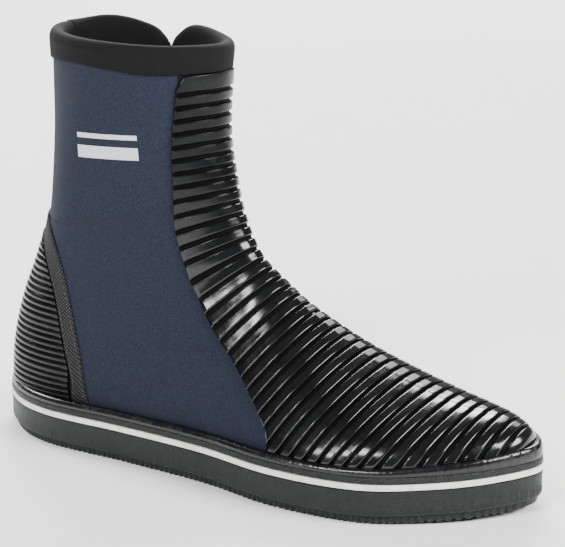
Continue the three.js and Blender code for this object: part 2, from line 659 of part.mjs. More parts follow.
const foam = sortFoam(foamPanels());
const FOAM_LOOKS = { front_foam_panel: BLACK_FOAM, heel_foam_panel: BLACK_FOAM };
Object.entries(foam).forEach(([name, solid]) => add(solid, name, FOAM_LOOKS[name] ?? NAVY_FOAM));

add(vampPlate(0).subtract(UPPER_CORE), 'vamp_rubber', BLACK_RUBBER);
add(heelPlate(0).subtract(UPPER_CORE), 'heel_counter', BLACK_RUBBER);
add(heelTape(-1), 'heel_tape_lateral', BLACK_TAPE);
add(heelTape(1), 'heel_tape_medial', BLACK_TAPE);
add(rearSeamTape(), 'rear_seam_tape', BLACK_TAPE);
add(collar(), 'collar', BLACK_FOAM);

add(zipGusset(), 'zip_gusset', BLACK_FOAM);
add(zipTape(-1), 'zip_tape_front', BLACK_TAPE);
add(zipTape(1), 'zip_tape_rear', BLACK_TAPE);
boot.add(zipFrame);
add(zipTeeth(-1), 'zip_teeth_front', BLACK_PLASTIC, zipFrame);
add(zipTeeth(1), 'zip_teeth_rear', BLACK_PLASTIC, zipFrame);
add(zipTopStop(-1), 'zip_top_stop_front', BLACK_PLASTIC, zipFrame);
add(zipTopStop(1), 'zip_top_stop_rear', BLACK_PLASTIC, zipFrame);
add(zipBottomStop(), 'zip_bottom_stop', BLACK_PLASTIC, zipFrame);
add(zipSlider(), 'zip_slider', BLACK_PLASTIC, zipFrame);
add(zipPull(), 'zip_pull', BLACK_PLASTIC, zipFrame);

export default boot;
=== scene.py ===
# Neoprene dinghy boot, right foot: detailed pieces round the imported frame.
# Shapes are worked out in millimetres in the row's frame and turned into metres when a mesh is made.
import math

import bmesh
import bpy
import numpy as np
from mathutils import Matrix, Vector


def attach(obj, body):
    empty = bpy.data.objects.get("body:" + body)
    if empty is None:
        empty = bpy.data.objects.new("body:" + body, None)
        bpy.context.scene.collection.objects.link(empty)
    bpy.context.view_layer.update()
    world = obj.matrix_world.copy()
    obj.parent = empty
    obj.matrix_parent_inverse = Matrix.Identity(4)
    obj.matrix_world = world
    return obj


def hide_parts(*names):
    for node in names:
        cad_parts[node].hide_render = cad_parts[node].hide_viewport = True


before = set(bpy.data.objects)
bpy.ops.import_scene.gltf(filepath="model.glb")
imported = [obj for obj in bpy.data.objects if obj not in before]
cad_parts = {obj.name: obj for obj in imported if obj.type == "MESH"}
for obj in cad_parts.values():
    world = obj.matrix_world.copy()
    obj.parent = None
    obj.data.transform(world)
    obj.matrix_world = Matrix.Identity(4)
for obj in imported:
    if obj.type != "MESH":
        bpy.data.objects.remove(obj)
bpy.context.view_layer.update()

MM = 0.001
BODY = "boot"
FAR = 999  # further along x than any point of the boot

# ---- driving dimensions (mm), as in the CAD
GAP = 0.3
RUBBER = 1.6
TAPE = 0.9
NEOPRENE = 5.0
FOAM_DEPTH = RUBBER + GAP
LINING_DEPTH = FOAM_DEPTH + NEOPRENE
BASE_Z = 24.0
MIDDLE_Y = 1.0
VAMP_PITCH = 6.2
VAMP_FIRST_GROOVE = 11.2
VAMP_GROOVES = 40
VAMP_TOP_ROW = 17.3
VAMP_CORNER_ROW = 16.4  # the vamp's top corners round off above it
HEEL_PITCH = 3.3
HEEL_BOTTOM_Z = 25.0
HEEL_TOP_Z = 113.0
SEAM_TOP_Z = 118.0
ZIP_TOP = np.array([-69.0, 41.0, 196.0])
ZIP_BOTTOM = np.array([-74.5, 33.0, 78.0])
ZIP_PARKED = 12.0
ZIP_SLOT_HALF = 8.0
ZIP_SLOT_END_Z = 71.0
GUSSET_HALF = 17.5
STRIPE_BOTTOM = 16.6
STRIPE_TOP = 19.6

# One row per station from the toe to the top: front profile x and z, spine x and z, lateral and
# medial y at the spine, and y of the ridge.
ROWS = np.array([
    (147.8, 31.0, 146.9, 24.0, 1.5, 16.8, 8.5), (145.5, 38.5, 141.5, 24.0, -7.0, 25.3, 9.0),
    (135.0, 43.3, 128.0, 24.0, -21.0, 36.0, 9.5), (120.0, 46.3, 110.0, 24.0, -35.0, 43.0, 10.0),
    (101.5, 50.6, 85.0, 24.0, -46.0, 47.5, 9.5), (79.6, 57.9, 60.0, 24.0, -49.0, 48.0, 9.0),
    (58.9, 66.9, 32.0, 24.0, -46.5, 44.0, 8.0), (43.2, 75.8, 8.0, 24.0, -41.5, 38.0, 7.0),
    (27.8, 85.3, -18.0, 24.0, -37.0, 32.5, 6.0), (16.3, 94.7, -48.0, 24.0, -34.5, 31.0, 5.0),
    (5.1, 104.7, -89.5, 24.0, -31.0, 31.5, 4.0), (-1.2, 113.6, -88.5, 66.0, -30.5, 32.7, 3.5),
    (-5.5, 123.4, -88.0, 90.0, -30.5, 34.2, 3.0), (-8.6, 132.2, -87.0, 109.5, -31.8, 35.7, 2.5),
    (-11.5, 145.0, -83.0, 131.0, -33.8, 36.9, 2.0), (-14.7, 160.0, -78.0, 150.0, -35.7, 38.0, 1.5),
    (-15.5, 176.0, -73.0, 168.5, -37.0, 39.0, 1.0), (-14.9, 192.0, -68.5, 187.0, -38.2, 40.3, 1.0),
    (-14.3, 207.0, -65.0, 203.5, -39.0, 41.0, 1.0)])
LAST_ROW = len(ROWS) - 1.0
CORNER_ROW = 10.0  # rows from here up run on round the back of the shaft
PANEL_TOP_ROW = 17.8
BACK_LINE = np.array([
    (24, -147.6), (40, -146.8), (52, -144.7), (65, -141), (78, -135.8), (90, -129.9), (100, -125),
    (112, -119.5), (125, -116), (145, -113.2), (165, -111.8), (185, -111.9), (213, -112.4)])
VAMP_EDGE = np.array([
    (5.85, 1), (6.07, 0.88), (6.5, 0.79), (7.9, 0.624), (9, 0.54), (10, 0.455), (11, 0.483),
    (12.5, 0.495), (14.5, 0.465), (16.4, 0.435), (16.95, 0.424), (17.2, 0.40), (17.3, 0.355)])
HEEL_EDGE = np.array([(20, -86.5), (52, -94.5), (78, -100), (96, -106.5), (108, -113.5), (114, -121)])
TAPE_EDGE = np.array([(20, -76.5), (32, -81.5), (50, -84.5), (78, -90), (97, -95), (110, -100.5),
                      (118, -108), (123, -118)])
SOLE_OUTLINE = np.array([
    (-152.3, 3.4), (-134.2, -21.1), (-103.5, -34.6), (-54.4, -37.5), (-4.1, -42.3), (40.4, -51.5),
    (85.4, -49.8), (114.7, -35.6), (138.2, -15.8), (152.3, 9.1), (140.3, 32.4), (118.4, 45.3),
    (75.5, 51.5), (30.6, 45.8), (-19.5, 35), (-69.7, 33.9), (-104.5, 35.6), (-135.8, 26.1)])


# ---- surface of the boot
def catmull(points, at):
    """Uniform Catmull-Rom through the rows of points, at fractional row numbers."""
    points = np.asarray(points, float)
    ends = np.vstack([2 * points[0] - points[1], points, 2 * points[-1] - points[-2]])
    at = np.clip(np.atleast_1d(np.asarray(at, float)), 0, len(points) - 1)
    i = np.minimum(at.astype(int), len(points) - 2)
    f = (at - i)[:, None]
    a, b, c, d = ends[i], ends[i + 1], ends[i + 2], ends[i + 3]
    return 0.5 * (2 * b + (c - a) * f + (2 * a - 5 * b + 4 * c - d) * f**2
                  + (3 * b - a - 3 * c + d) * f**3)


DENSE_BACK = catmull(BACK_LINE, np.linspace(0, len(BACK_LINE) - 1, 300))
DENSE_ROWS = np.linspace(0, LAST_ROW, 3000)
DENSE_RIDGE = catmull(ROWS, DENSE_ROWS)[:, :2]
RIDGE_RUN = np.r_[0, np.cumsum(np.linalg.norm(np.diff(DENSE_RIDGE, axis=0), axis=1))]


def edge_spline(points, x):
    """Smooth line of value over x through a few points."""
    dense = catmull(points, np.linspace(0, len(points) - 1, 200))
    return np.interp(x, dense[:, 0], dense[:, 1])


def row_at_ridge(distance):
    return np.interp(distance, RIDGE_RUN, DENSE_ROWS)


def row_at_height(z):
    rows = np.linspace(CORNER_ROW, LAST_ROW, 600)
    return np.interp(z, catmull(ROWS, rows)[:, 3], rows)


def sections(row):
    """Each row's values, the ridge's direction there, the middle and half width, and the pull of the toe."""
    row = np.atleast_1d(np.asarray(row, float))
    values = catmull(ROWS, row)
    run = catmull(ROWS, row + 0.02)[:, :2] - catmull(ROWS, row - 0.02)[:, :2]
    run /= np.linalg.norm(run, axis=1)[:, None]
    middle = (values[:, 4] + values[:, 5]) / 2
    width = (values[:, 5] - values[:, 4]) / 2
    toe_pull = np.clip(1 - row / 3, 0, 1)
    return values, run, middle, width, toe_pull


def skin_grid(values, around, depth):
    """around and depth spread to one grid, with the cosine and sine of the way round."""
    shape = np.broadcast_shapes(np.shape(around), (len(values), 1))
    around = np.broadcast_to(np.asarray(around, float), shape)
    depth = np.broadcast_to(np.asarray(depth, float), around.shape)
    return depth, np.cos(around * math.pi / 2), np.sin(around * math.pi / 2)


def front_skin(row, around, depth=0.0):
    """Front of the boot. around runs from -1 (lateral) over 0 (ridge) to 1 (medial)."""
    values, run, middle, width, toe_pull = sections(row)
    depth, s, w = skin_grid(values, around, depth)
    front_x = values[:, 0:1] - depth * run[:, 1:2]
    front_z = values[:, 1:2] + depth * run[:, 0:1]
    spine_x = values[:, 2:3] - depth * toe_pull[:, None]
    half = np.maximum(0.5, width[:, None] - depth)
    x = spine_x + (front_x - spine_x) * s
    y = middle[:, None] * (1 - s * s) + values[:, 6:7] * s * s + half * w
    z = values[:, 3:4] + (front_z - values[:, 3:4]) * s
    return np.stack([x, y, z], -1)


def back_skin(row, around, depth=0.0):
    """Back of the shaft. around runs from -1 (lateral spine) over 0 (rear seam) to 1 (medial)."""
    values, _, middle, width, _ = sections(row)
    depth, s, w = skin_grid(values, around, depth)
    heel = np.interp(values[:, 3], DENSE_BACK[:, 0], DENSE_BACK[:, 1])[:, None] + depth
    tilt = 6 * np.clip((values[:, 3:4] - 130) / 73.5, 0, 1)
    half = np.maximum(0.5, width[:, None] - depth)
    x = values[:, 2:3] + (heel - values[:, 2:3]) * s
    y = middle[:, None] * (1 - s * s) + MIDDLE_Y * s * s + half * w
    return np.stack([x, y, values[:, 3:4] + tilt * s], -1)


def toe_spring(x):
    return 3.2 * np.clip((x - 50) / 98, 0, 1) ** 2


def resample(path, count, closed=False):
    """Points evenly spaced along a path."""
    path = np.vstack([path, path[:1]]) if closed else path
    run = np.r_[0, np.cumsum(np.linalg.norm(np.diff(path, axis=0), axis=1))]
    want = np.linspace(0, run[-1], count + 1)[:-1] if closed else np.linspace(0, run[-1], count)
    return np.stack([np.interp(want, run, path[:, i]) for i in range(path.shape[1])], -1)


def zip_x(z):
    f = (ZIP_TOP[2] - z) / (ZIP_TOP[2] - ZIP_BOTTOM[2])
    return ZIP_TOP[0] + f * (ZIP_BOTTOM[0] - ZIP_TOP[0])


def zip_middle(path):
    """x of the zip's middle on a path round the skin."""
    return zip_x(np.interp(-ZIP_TOP[0], -path[:, 0], path[:, 2]))


def heel_seam_x(z):
    return (edge_spline(HEEL_EDGE, z) + edge_spline(TAPE_EDGE, z)) / 2


def side_path(row, side, depth):
    """One row of the skin from the vamp's edge round to the rear seam, on one side."""
    edge = float(edge_spline(VAMP_EDGE, min(row, VAMP_CORNER_ROW))) if row > VAMP_EDGE[0, 0] else 1.0
    front = front_skin(row, side * np.linspace(max(edge - 0.02, 0), 1, 60)[None, :], depth)[0]
    if row <= CORNER_ROW:
        return front
    back = back_skin(row, side * np.linspace(1, 0.0, 60)[None, 1:], depth)[0]
    return np.vstack([front, back])


def cut_path(path, x_high, x_low):
    """The stretch of a path between two x values; x falls along it."""
    x = path[:, 0]
    keep = (x < x_high) & (x > x_low)
    at = lambda value: np.array([[np.interp(-value, -x, path[:, i]) for i in range(3)]])
    parts = [path[keep]]
    if x_high < x[0]:
        parts.insert(0, at(x_high))
    if x_low > x[-1]:
        parts.append(at(x_low))
    return np.vstack(parts)


def crossing(path, line):
    """Where a path passes a side-view line of x over z: a fractional index, and the point."""
    ahead = path[:, 0] - line(path[:, 2])
    past = np.nonzero(ahead <= 0)[0]
    if not len(past):
        return len(path) - 1, path[-1]
    k = past[0]
    if k == 0:
        return 0, path[0]
    f = ahead[k - 1] / (ahead[k - 1] - ahead[k])
    return k - 1 + f, path[k - 1] + (path[k] - path[k - 1]) * f


def stretch(path, first, last=None):
    """The part of a path from one side-view line to the next, or to the path's end; x falls along it."""
    low, start = crossing(path, first)
    high, end = crossing(path, last) if last else (len(path) - 1, path[-1])
    index = np.arange(len(path))
    return np.vstack([start, path[(index > low) & (index < high)], end])


def span_grid(rows, side, depth, first, last, count):
    """Grid of points on one side between two side-view lines, one line of points per row."""
    return np.stack([resample(stretch(side_path(row, side, depth), first, last), count) for row in rows])


def tape_front_line(z):
    return edge_spline(TAPE_EDGE, z) + np.where(z > TAPE_EDGE[-1, 0], -60.0, 0.0)


def tape_rear_line(z):
    """Rear edge of the heel tapes: the counter's edge, or the spine where the counter ends there."""
    line = np.minimum(edge_spline(HEEL_EDGE, z) + 0.35, np.where(z < 34, -90.2, 0.0))
    return line - np.where(z > HEEL_TOP_Z + 0.8, 60.0, 0.0)


# ---- mesh helpers
SHARP_ANGLE = 50


def new_piece(name, verts, faces, materials, slot, replaces=(), body=BODY, uvs=None,
              face_material=None, weld=0.01):
    """Make a mesh object from millimetre points, weld it, and tie it to the frame."""
    mesh = bpy.data.meshes.new(name)
    mesh.from_pydata((np.asarray(verts, float) * MM).tolist(), [], faces)
    piece = bpy.data.objects.new(name, mesh)
    bpy.context.scene.collection.objects.link(piece)
    for look in materials:
        mesh.materials.append(look)
    if uvs is not None:
        layer = mesh.uv_layers.new(name="lay")
        index = np.empty(len(mesh.loops), int)
        mesh.loops.foreach_get("vertex_index", index)
        layer.data.foreach_set("uv", np.asarray(uvs, float)[index].ravel())
    if face_material is not None:
        mesh.polygons.foreach_set("material_index", face_material)
    tidy = bmesh.new()
    tidy.from_mesh(mesh)
    bmesh.ops.remove_doubles(tidy, verts=tidy.verts, dist=weld * MM)
    bmesh.ops.dissolve_degenerate(tidy, edges=tidy.edges, dist=weld * MM * 0.1)
    bmesh.ops.recalc_face_normals(tidy, faces=tidy.faces)
    tidy.to_mesh(mesh)
    tidy.free()
    mesh.polygons.foreach_set("use_smooth", [True] * len(mesh.polygons))
    mesh.set_sharp_from_angle(angle=math.radians(SHARP_ANGLE))
    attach(piece, body)
    if replaces:
        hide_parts(*replaces)
    return piece


def grid_faces(rows, columns, start=0, wrap_rows=False, wrap_columns=False, flip=False):
    """Faces between the neighbours of a grid of points numbered from start, row by row."""
    faces = []
    for i in range(rows if wrap_rows else rows - 1):
        below = start + (i % rows) * columns
        above = start + ((i + 1) % rows) * columns
        for j in range(columns if wrap_columns else columns - 1):
            k = (j + 1) % columns
            face = (below + j, above + j, above + k, below + k)
            faces.append(face[::-1] if flip else face)
    return faces


def grid_uv(grid):
    """Distance along and across a grid, in metres."""
    along = np.zeros(grid.shape[:2])
    across = np.zeros(grid.shape[:2])
    along[1:] = np.cumsum(np.linalg.norm(np.diff(grid, axis=0), axis=2), axis=0)
    across[:, 1:] = np.cumsum(np.linalg.norm(np.diff(grid, axis=1), axis=2), axis=1)
    middle = across[:, across.shape[1] // 2][:, None]
    mean_along = along.mean(axis=1)[:, None] + 0 * along
    return np.stack([(across - middle) * MM, mean_along * MM], -1).reshape(-1, 2)


def plate_piece(name, outer, inner, materials, slot, **more):
    """Closed plate between two grids of the same size; a second material is for the inner face."""
    rows, columns = outer.shape[:2]
    count = rows * columns
    faces = grid_faces(rows, columns) + grid_faces(rows, columns, count, flip=True)
    ring = [j for j in range(columns)]
    ring += [i * columns + columns - 1 for i in range(1, rows)]
    ring += [(rows - 1) * columns + j for j in range(columns - 2, -1, -1)]
    ring += [i * columns for i in range(rows - 2, 0, -1)]
    for a, b in zip(ring, ring[1:] + ring[:1]):
        faces.append((a, b, count + b, count + a))
    verts = np.vstack([outer.reshape(-1, 3), inner.reshape(-1, 3)])
    uvs = np.vstack([grid_uv(outer), grid_uv(inner)])
    side = (rows - 1) * (columns - 1)
    inside = np.zeros(len(faces), int)
    inside[side:2 * side] = len(materials) - 1
    return new_piece(name, verts, faces, materials, slot, uvs=uvs, face_material=inside, **more)


def ring_piece(name, rings, materials, slot, closed_path=True, **more):
    """Closed sweep: rings[i] is the section's i-th point all the way round the path."""
    rings = np.asarray(rings, float)
    sections_count, stations = rings.shape[:2]
    faces = grid_faces(sections_count, stations, wrap_rows=True, wrap_columns=closed_path)
    if not closed_path:
        faces.append([i * stations for i in range(sections_count)])
        faces.append([i * stations + stations - 1 for i in reversed(range(sections_count))])
    return new_piece(name, rings.reshape(-1, 3), faces, materials, slot, uvs=grid_uv(rings), **more)


# ---- materials
def material(name, build):
    made = bpy.data.materials.new(name)
    made.use_nodes = True
    nodes = made.node_tree.nodes
    nodes.clear()
    shader = nodes.new("ShaderNodeBsdfPrincipled")
    out = nodes.new("ShaderNodeOutputMaterial")
    made.node_tree.links.new(shader.outputs[0], out.inputs["Surface"])
    build(Nodes(made.node_tree, shader), shader)
    return made


class Nodes:
    """Short ways to add the nodes that the materials share."""

    def __init__(self, tree, shader):
        self.tree = tree
        self.shader = shader

    def add(self, kind, **values):
        node = self.tree.nodes.new(kind)
        for key, value in values.items():
            setattr(node, key, value)
        return node

    def link(self, source, target):
        self.tree.links.new(source, target)

    def position(self):
        """Place on the boot, in metres."""
        return self.add("ShaderNodeTexCoord").outputs["Object"]

    def lay(self, scale, turn=0.0):
        """Distance along and across the piece in metres, turned by degrees and scaled."""
        mapping = self.add("ShaderNodeMapping")
        mapping.inputs["Rotation"].default_value = (0, 0, math.radians(turn))
        mapping.inputs["Scale"].default_value = scale
        self.link(self.add("ShaderNodeTexCoord").outputs["UV"], mapping.inputs["Vector"])
        return mapping.outputs[0]

    def noise(self, scale, detail=3.0, rough=0.55):
        node = self.add("ShaderNodeTexNoise")
        node.inputs["Scale"].default_value = scale
        node.inputs["Detail"].default_value = detail
        node.inputs["Roughness"].default_value = rough
        self.link(self.position(), node.inputs["Vector"])
        return node.outputs["Fac"]

    def wave(self, scale, vector, direction, distortion):
        node = self.add("ShaderNodeTexWave", bands_direction=direction)
        node.inputs["Scale"].default_value = scale
        node.inputs["Distortion"].default_value = distortion
        self.link(vector, node.inputs["Vector"])
        return node.outputs["Fac"]

    def ramp(self, value, stops):
        node = self.add("ShaderNodeValToRGB")
        band = node.color_ramp
        while len(band.elements) < len(stops):
            band.elements.new(0.5)
        for element, (at, color) in zip(band.elements, stops):
            element.position = at
            element.color = (*color, 1) if isinstance(color, tuple) else (color, color, color, 1)
        self.link(value, node.inputs["Fac"])
        return node.outputs["Color"]

    def math(self, operation, a, b):
        node = self.add("ShaderNodeMath", operation=operation)
        for socket, value in zip(node.inputs, (a, b)):
            if isinstance(value, (int, float)):
                socket.default_value = value
            else:
                self.link(value, socket)
        return node.outputs[0]

    def map(self, value, low, high, to_low, to_high):
        node = self.add("ShaderNodeMapRange")
        for socket, number in zip(node.inputs[1:5], (low, high, to_low, to_high)):
            socket.default_value = number
        self.link(value, node.inputs["Value"])
        return node.outputs[0]

    def bump(self, height, distance, strength=1.0, under=None):
        node = self.add("ShaderNodeBump")
        node.inputs["Distance"].default_value = distance
        node.inputs["Strength"].default_value = strength
        self.link(height, node.inputs["Height"])
        if under:
            self.link(under, node.inputs["Normal"])
        return node.outputs[0]

    def finish(self, color, rough, normal=None):
        self.link(color, self.shader.inputs["Base Color"])
        self.link(rough, self.shader.inputs["Roughness"])
        if normal:
            self.link(normal, self.shader.inputs["Normal"])


def rubber_look(dark, light, rough_low, rough_high, shine, shaft_shine=None):
    """Moulded rubber; with shaft_shine it turns duller up the shaft."""
    def build(n, shader):
        cloud = n.noise(60, 4)
        color = n.ramp(cloud, [(0.3, dark), (0.75, light)])
        rough = n.map(n.noise(220, 3), 0.3, 0.7, rough_low, rough_high)
        shader.inputs["Specular IOR Level"].default_value = shine
        if shaft_shine is not None:
            split = n.add("ShaderNodeSeparateXYZ")
            n.link(n.position(), split.inputs[0])
            height = split.outputs["Z"]
            rough = n.math("ADD", rough, n.map(height, 0.115, 0.16, 0.0, 0.12))
            n.link(n.map(height, 0.10, 0.15, shine, shaft_shine), shader.inputs["Specular IOR Level"])
        fine = n.bump(n.noise(2600, 2), 0.00003, 0.35)
        wide = n.bump(n.noise(140, 2), 0.0003, 0.12, fine)
        n.finish(color, rough, wide)
    return build


def sole_look(n, shader):
    """Stippled rubber: fine pits on a coarser grain."""
    grain = n.noise(900, 4, 0.7)
    pits = n.add("ShaderNodeTexVoronoi")
    pits.inputs["Scale"].default_value = 1500
    n.link(n.position(), pits.inputs["Vector"])
    color = n.ramp(n.noise(300, 5, 0.7), [(0.3, (0.0015, 0.0024, 0.0022)), (0.7, (0.008, 0.0105, 0.0096))])
    rough = n.map(grain, 0.3, 0.7, 0.24, 0.6)
    shader.inputs["Specular IOR Level"].default_value = 0.34
    fine = n.bump(pits.outputs["Distance"], 0.0004, 0.9)
    n.finish(color, rough, n.bump(grain, 0.0006, 0.85, fine))


def white_look(n, shader):
    """White rubber, faintly soiled."""
    color = n.ramp(n.noise(140, 5, 0.7), [(0.25, (0.60, 0.59, 0.55)), (0.6, (0.83, 0.83, 0.80))])
    n.finish(color, n.map(n.noise(500), 0.3, 0.7, 0.38, 0.55), n.bump(n.noise(900, 2), 0.0001, 0.5))


def knit_look(dark, light, pitch, sheen):
    """Jersey face: fine columns of loops with short rows, mottled by the yarn."""
    def build(n, shader):
        scale = 1 / pitch
        lay = n.lay((scale, scale * 1.25, 1))
        columns = n.wave(0.5, lay, "X", 1.2)
        loops = n.wave(0.5, lay, "Y", 1.6)
        weave = n.math("MULTIPLY", columns, loops)
        yarn = n.noise(1700, 2, 0.7)
        speckle = n.noise(1500, 2, 0.7)
        both = n.math("ADD", n.math("MULTIPLY", weave, 0.25), n.math("MULTIPLY", yarn, 0.45))
        both = n.math("ADD", both, n.math("MULTIPLY", speckle, 0.45))
        color = n.ramp(both, [(0.40, dark), (0.64, light)])
        soft = n.bump(n.noise(45, 2), 0.0012, 0.15)
        normal = n.bump(both, 0.0004, 0.8, soft)
        shader.inputs["Sheen Weight"].default_value = sheen
        shader.inputs["Sheen Roughness"].default_value = 0.5
        shader.inputs["Specular IOR Level"].default_value = 0.2
        n.finish(color, n.map(yarn, 0.3, 0.7, 0.8, 0.97), normal)
    return build


def tape_look(n, shader):
    """Woven tape: a slanted twill with glints on the raised threads, partly from their lower roughness and
    partly painted into their colour.
    """
    slanted = n.lay((1000, 1000, 1), turn=38)
    twill = n.wave(0.2, slanted, "X", 1.0)
    cross = n.wave(0.26, slanted, "Y", 1.5)
    threads = n.math("MULTIPLY", twill, cross)
    # the lightest stop is a painted highlight on the raised threads; the darker stops are the tape's own
    # black
    color = n.ramp(threads, [(0.1, 0.0006), (0.55, 0.005), (0.95, 0.075)])
    rough = n.map(threads, 0.2, 0.9, 0.8, 0.4)
    shader.inputs["Specular IOR Level"].default_value = 0.35
    n.finish(color, rough, n.bump(threads, 0.0003, 0.9))


def plain_look(dark, light, rough_low, rough_high, grain=400):
    """Finely grained surface of one colour, a little uneven."""
    def build(n, shader):
        cloud = n.noise(grain, 4)
        n.finish(n.ramp(cloud, [(0.3, dark), (0.7, light)]), n.map(cloud, 0.3, 0.7, rough_low, rough_high),
                 n.bump(n.noise(grain * 3), 0.0001, 0.6))
    return build


# colours in linear light; each look goes from its darkest to its lightest tone
BLACK = (0.0015, 0.0016, 0.0018)
GLOSS = material("gloss_rubber", rubber_look(BLACK, (0.005, 0.0053, 0.0058), 0.10, 0.22, 0.5, 0.16))
HEEL_GLOSS = material("heel_rubber", rubber_look(BLACK, (0.004, 0.0043, 0.0048), 0.14, 0.30, 0.2))
# painted shade: the deep part of each groove gets this darker, duller rubber, standing for the shade inside
# it
GROOVE_SHADE_RUBBER = material("groove_painted_shade", rubber_look((0.0008, 0.0008, 0.001), (0.002, 0.002, 0.0022), 0.55, 0.75,
                                               0.06))
BAND = material("band_rubber", rubber_look((0.0015, 0.0015, 0.0018), (0.006, 0.006, 0.007), 0.14, 0.36, 0.5))
SOLE = material("sole_rubber", sole_look)
WHITE = material("white_rubber", white_look)
NAVY = material("navy_knit", knit_look((0.0032, 0.0046, 0.0090), (0.0200, 0.0264, 0.0480), 0.00085, 0.05))
BLACK_KNIT = material("black_knit", knit_look((0.0002, 0.0002, 0.0004), (0.0050, 0.0052, 0.0060), 0.0009,
                                              0.015))
LINING = material("lining_jersey", knit_look((0.0004, 0.0004, 0.0006), (0.0028, 0.0028, 0.0034), 0.0012,
                                             0.01))
TAPE_CLOTH = material("woven_tape", tape_look)
THREAD = material("thread", plain_look((0.005, 0.005, 0.006), (0.03, 0.03, 0.034), 0.4, 0.7, 3000))
PLASTIC = material("zip_plastic", plain_look((0.006, 0.006, 0.007), (0.012, 0.012, 0.013), 0.25, 0.45))
FOAM = material("filler_foam", plain_look((0.05, 0.05, 0.055), (0.09, 0.09, 0.095), 0.8, 0.95, 700))
BOARD = material("insole_board", plain_look((0.09, 0.09, 0.09), (0.15, 0.15, 0.15), 0.8, 0.95, 900))
PRINT = material("print", plain_look((0.40, 0.41, 0.43), (0.62, 0.63, 0.65), 0.6, 0.8, 1800))


# ---- rubber overlays
def smooth_step(x, low, high):
    f = np.clip((x - low) / (high - low), 0, 1)
    return f * f * (3 - 2 * f)


def groove_depth(offset):
    """Depth at an offset from a groove's middle: a step down, the floor, then a rounded edge."""
    full, floor_half, edge, step_depth = 1.4, 0.75, 1.0, 0.4
    toward_toe = full - (full - step_depth) * smooth_step(-offset, floor_half, floor_half + 0.2)
    toward_toe -= step_depth * smooth_step(-offset, 1.16, 1.38)
    rounded = np.clip((offset - floor_half) / edge, 0, 1)
    toward_shaft = full * (1 - np.sqrt(1 - (1 - rounded) ** 2))
    return np.where(offset < 0, toward_toe, toward_shaft)


# groove faces next to where the groove is deeper than this get painted shade
GROOVE_SHADE_DEPTH = 0.5  # deeper than this counts as the deep part of a groove
VAMP_OFFSETS = np.array([-1.6, -1.45, -1.32, -1.22, -1.1, -0.98, -0.9, -0.82, -0.75, 0.0, 0.75, 0.78, 0.84,
                         0.94, 1.08, 1.24, 1.42, 1.6, 1.75, 2.4, 3.2, 3.9])


def down_to(z, grid):
    """The grid with one more row in front, straight below the first."""
    return np.concatenate([grid[:1] * [1, 1, 0] + [0, 0, z], grid])


def vamp_rows():
    """Distance along the ridge and groove depth of each row; rows crowd round each groove."""
    distance = [np.linspace(RIDGE_RUN[0] + 0.8, VAMP_FIRST_GROOVE - 1.6, 10)[:-1]]
    depth = [np.zeros(9)]
    for i in range(VAMP_GROOVES):
        distance.append(VAMP_FIRST_GROOVE + i * VAMP_PITCH + VAMP_OFFSETS)
        depth.append(groove_depth(VAMP_OFFSETS))
    distance = np.concatenate(distance)
    depth = np.concatenate(depth)
    top = np.interp(VAMP_TOP_ROW, DENSE_ROWS, RIDGE_RUN)
    keep = distance < top - 0.9
    distance = np.r_[distance[keep], top - 0.6, top - 0.25, top - 0.08, top]
    return distance, np.r_[depth[keep], 0.0, 0.05, 0.25, 0.7]


def paint_groove_shade(piece, groove):
    """Painted shade: a darker, duller strip along each groove, one row of faces nearer the shaft than the
    groove's deep part.
    """
    piece.data.materials.append(GROOVE_SHADE_RUBBER)
    low = np.minimum(groove[:-1], groove[1:])[:, :-1] > GROOVE_SHADE_DEPTH
    strip = np.concatenate([np.zeros((2, low.shape[1]), bool), low[:-1]])
    for index in np.flatnonzero(strip):
        piece.data.polygons[int(index)].material_index = 1


def vamp_rubber():
    """Ribbed vamp from the toe to under the collar, with columns from edge to edge."""
    distance, depth = vamp_rows()
    row = row_at_ridge(distance)
    edge = edge_spline(VAMP_EDGE, row)
    columns = np.linspace(-1, 1, 121)
    columns = np.sign(columns) * (1 - (1 - np.abs(columns)) ** 1.25)
    around = columns[None, :] * np.minimum(1, edge)[:, None]
    # the last few columns roll down to the foam, and the grooves get shallower there
    reach = 45.0 * edge[:, None] * (1 - np.abs(columns))[None, :]
    bare = (edge < 0.999)[:, None]
    groove = depth[:, None] * np.where(bare, 0.6 + 0.4 * smooth_step(reach, 0.2, 0.7), 1.0)
    roll = np.where(bare, 0.35 * (1 - smooth_step(reach, 0.0, 0.45)), 0.0)
    outer = flatten_ridge(front_skin(row, around, groove + roll), row, around)
    inner = front_skin(row, around, np.full(around.shape, RUBBER))
    floor_z = BASE_Z - 1
    piece = plate_piece("vamp_ribbed", down_to(floor_z, outer), down_to(floor_z, inner), [GLOSS],
                        "black_rubber", replaces=["vamp_rubber"])
    # painted shade along the grooves, with the darker groove rubber
    paint_groove_shade(piece, groove)


def flatten_ridge(grid, row, around):
    """A flat strip along the ridge of the forefoot, where the rubber was moulded over its form."""
    half = 0.075 * smooth_step(row, 1.6, 3.0) * (1 - smooth_step(row, 7.5, 10.0))
    half = np.maximum(half, 1e-4)[:, None]
    left = np.argmin(np.abs(around + half), axis=1)
    right = np.argmin(np.abs(around - half), axis=1)
    lines = np.arange(len(row))
    a = grid[lines, left][:, None, :]
    b = grid[lines, right][:, None, :]
    span = np.maximum(around[lines, right] - around[lines, left], 1e-6)[:, None]
    f = (around - around[lines, left][:, None]) / span
    inside = ((f > 0) & (f < 1) & (half > 0.01))[:, :, None]
    chord = a + (b - a) * f[:, :, None]
    lift = np.array([0, 0, 0.35])
    return np.where(inside, chord + lift * smooth_step(np.minimum(f, 1 - f), 0, 0.08)[:, :, None], grid)


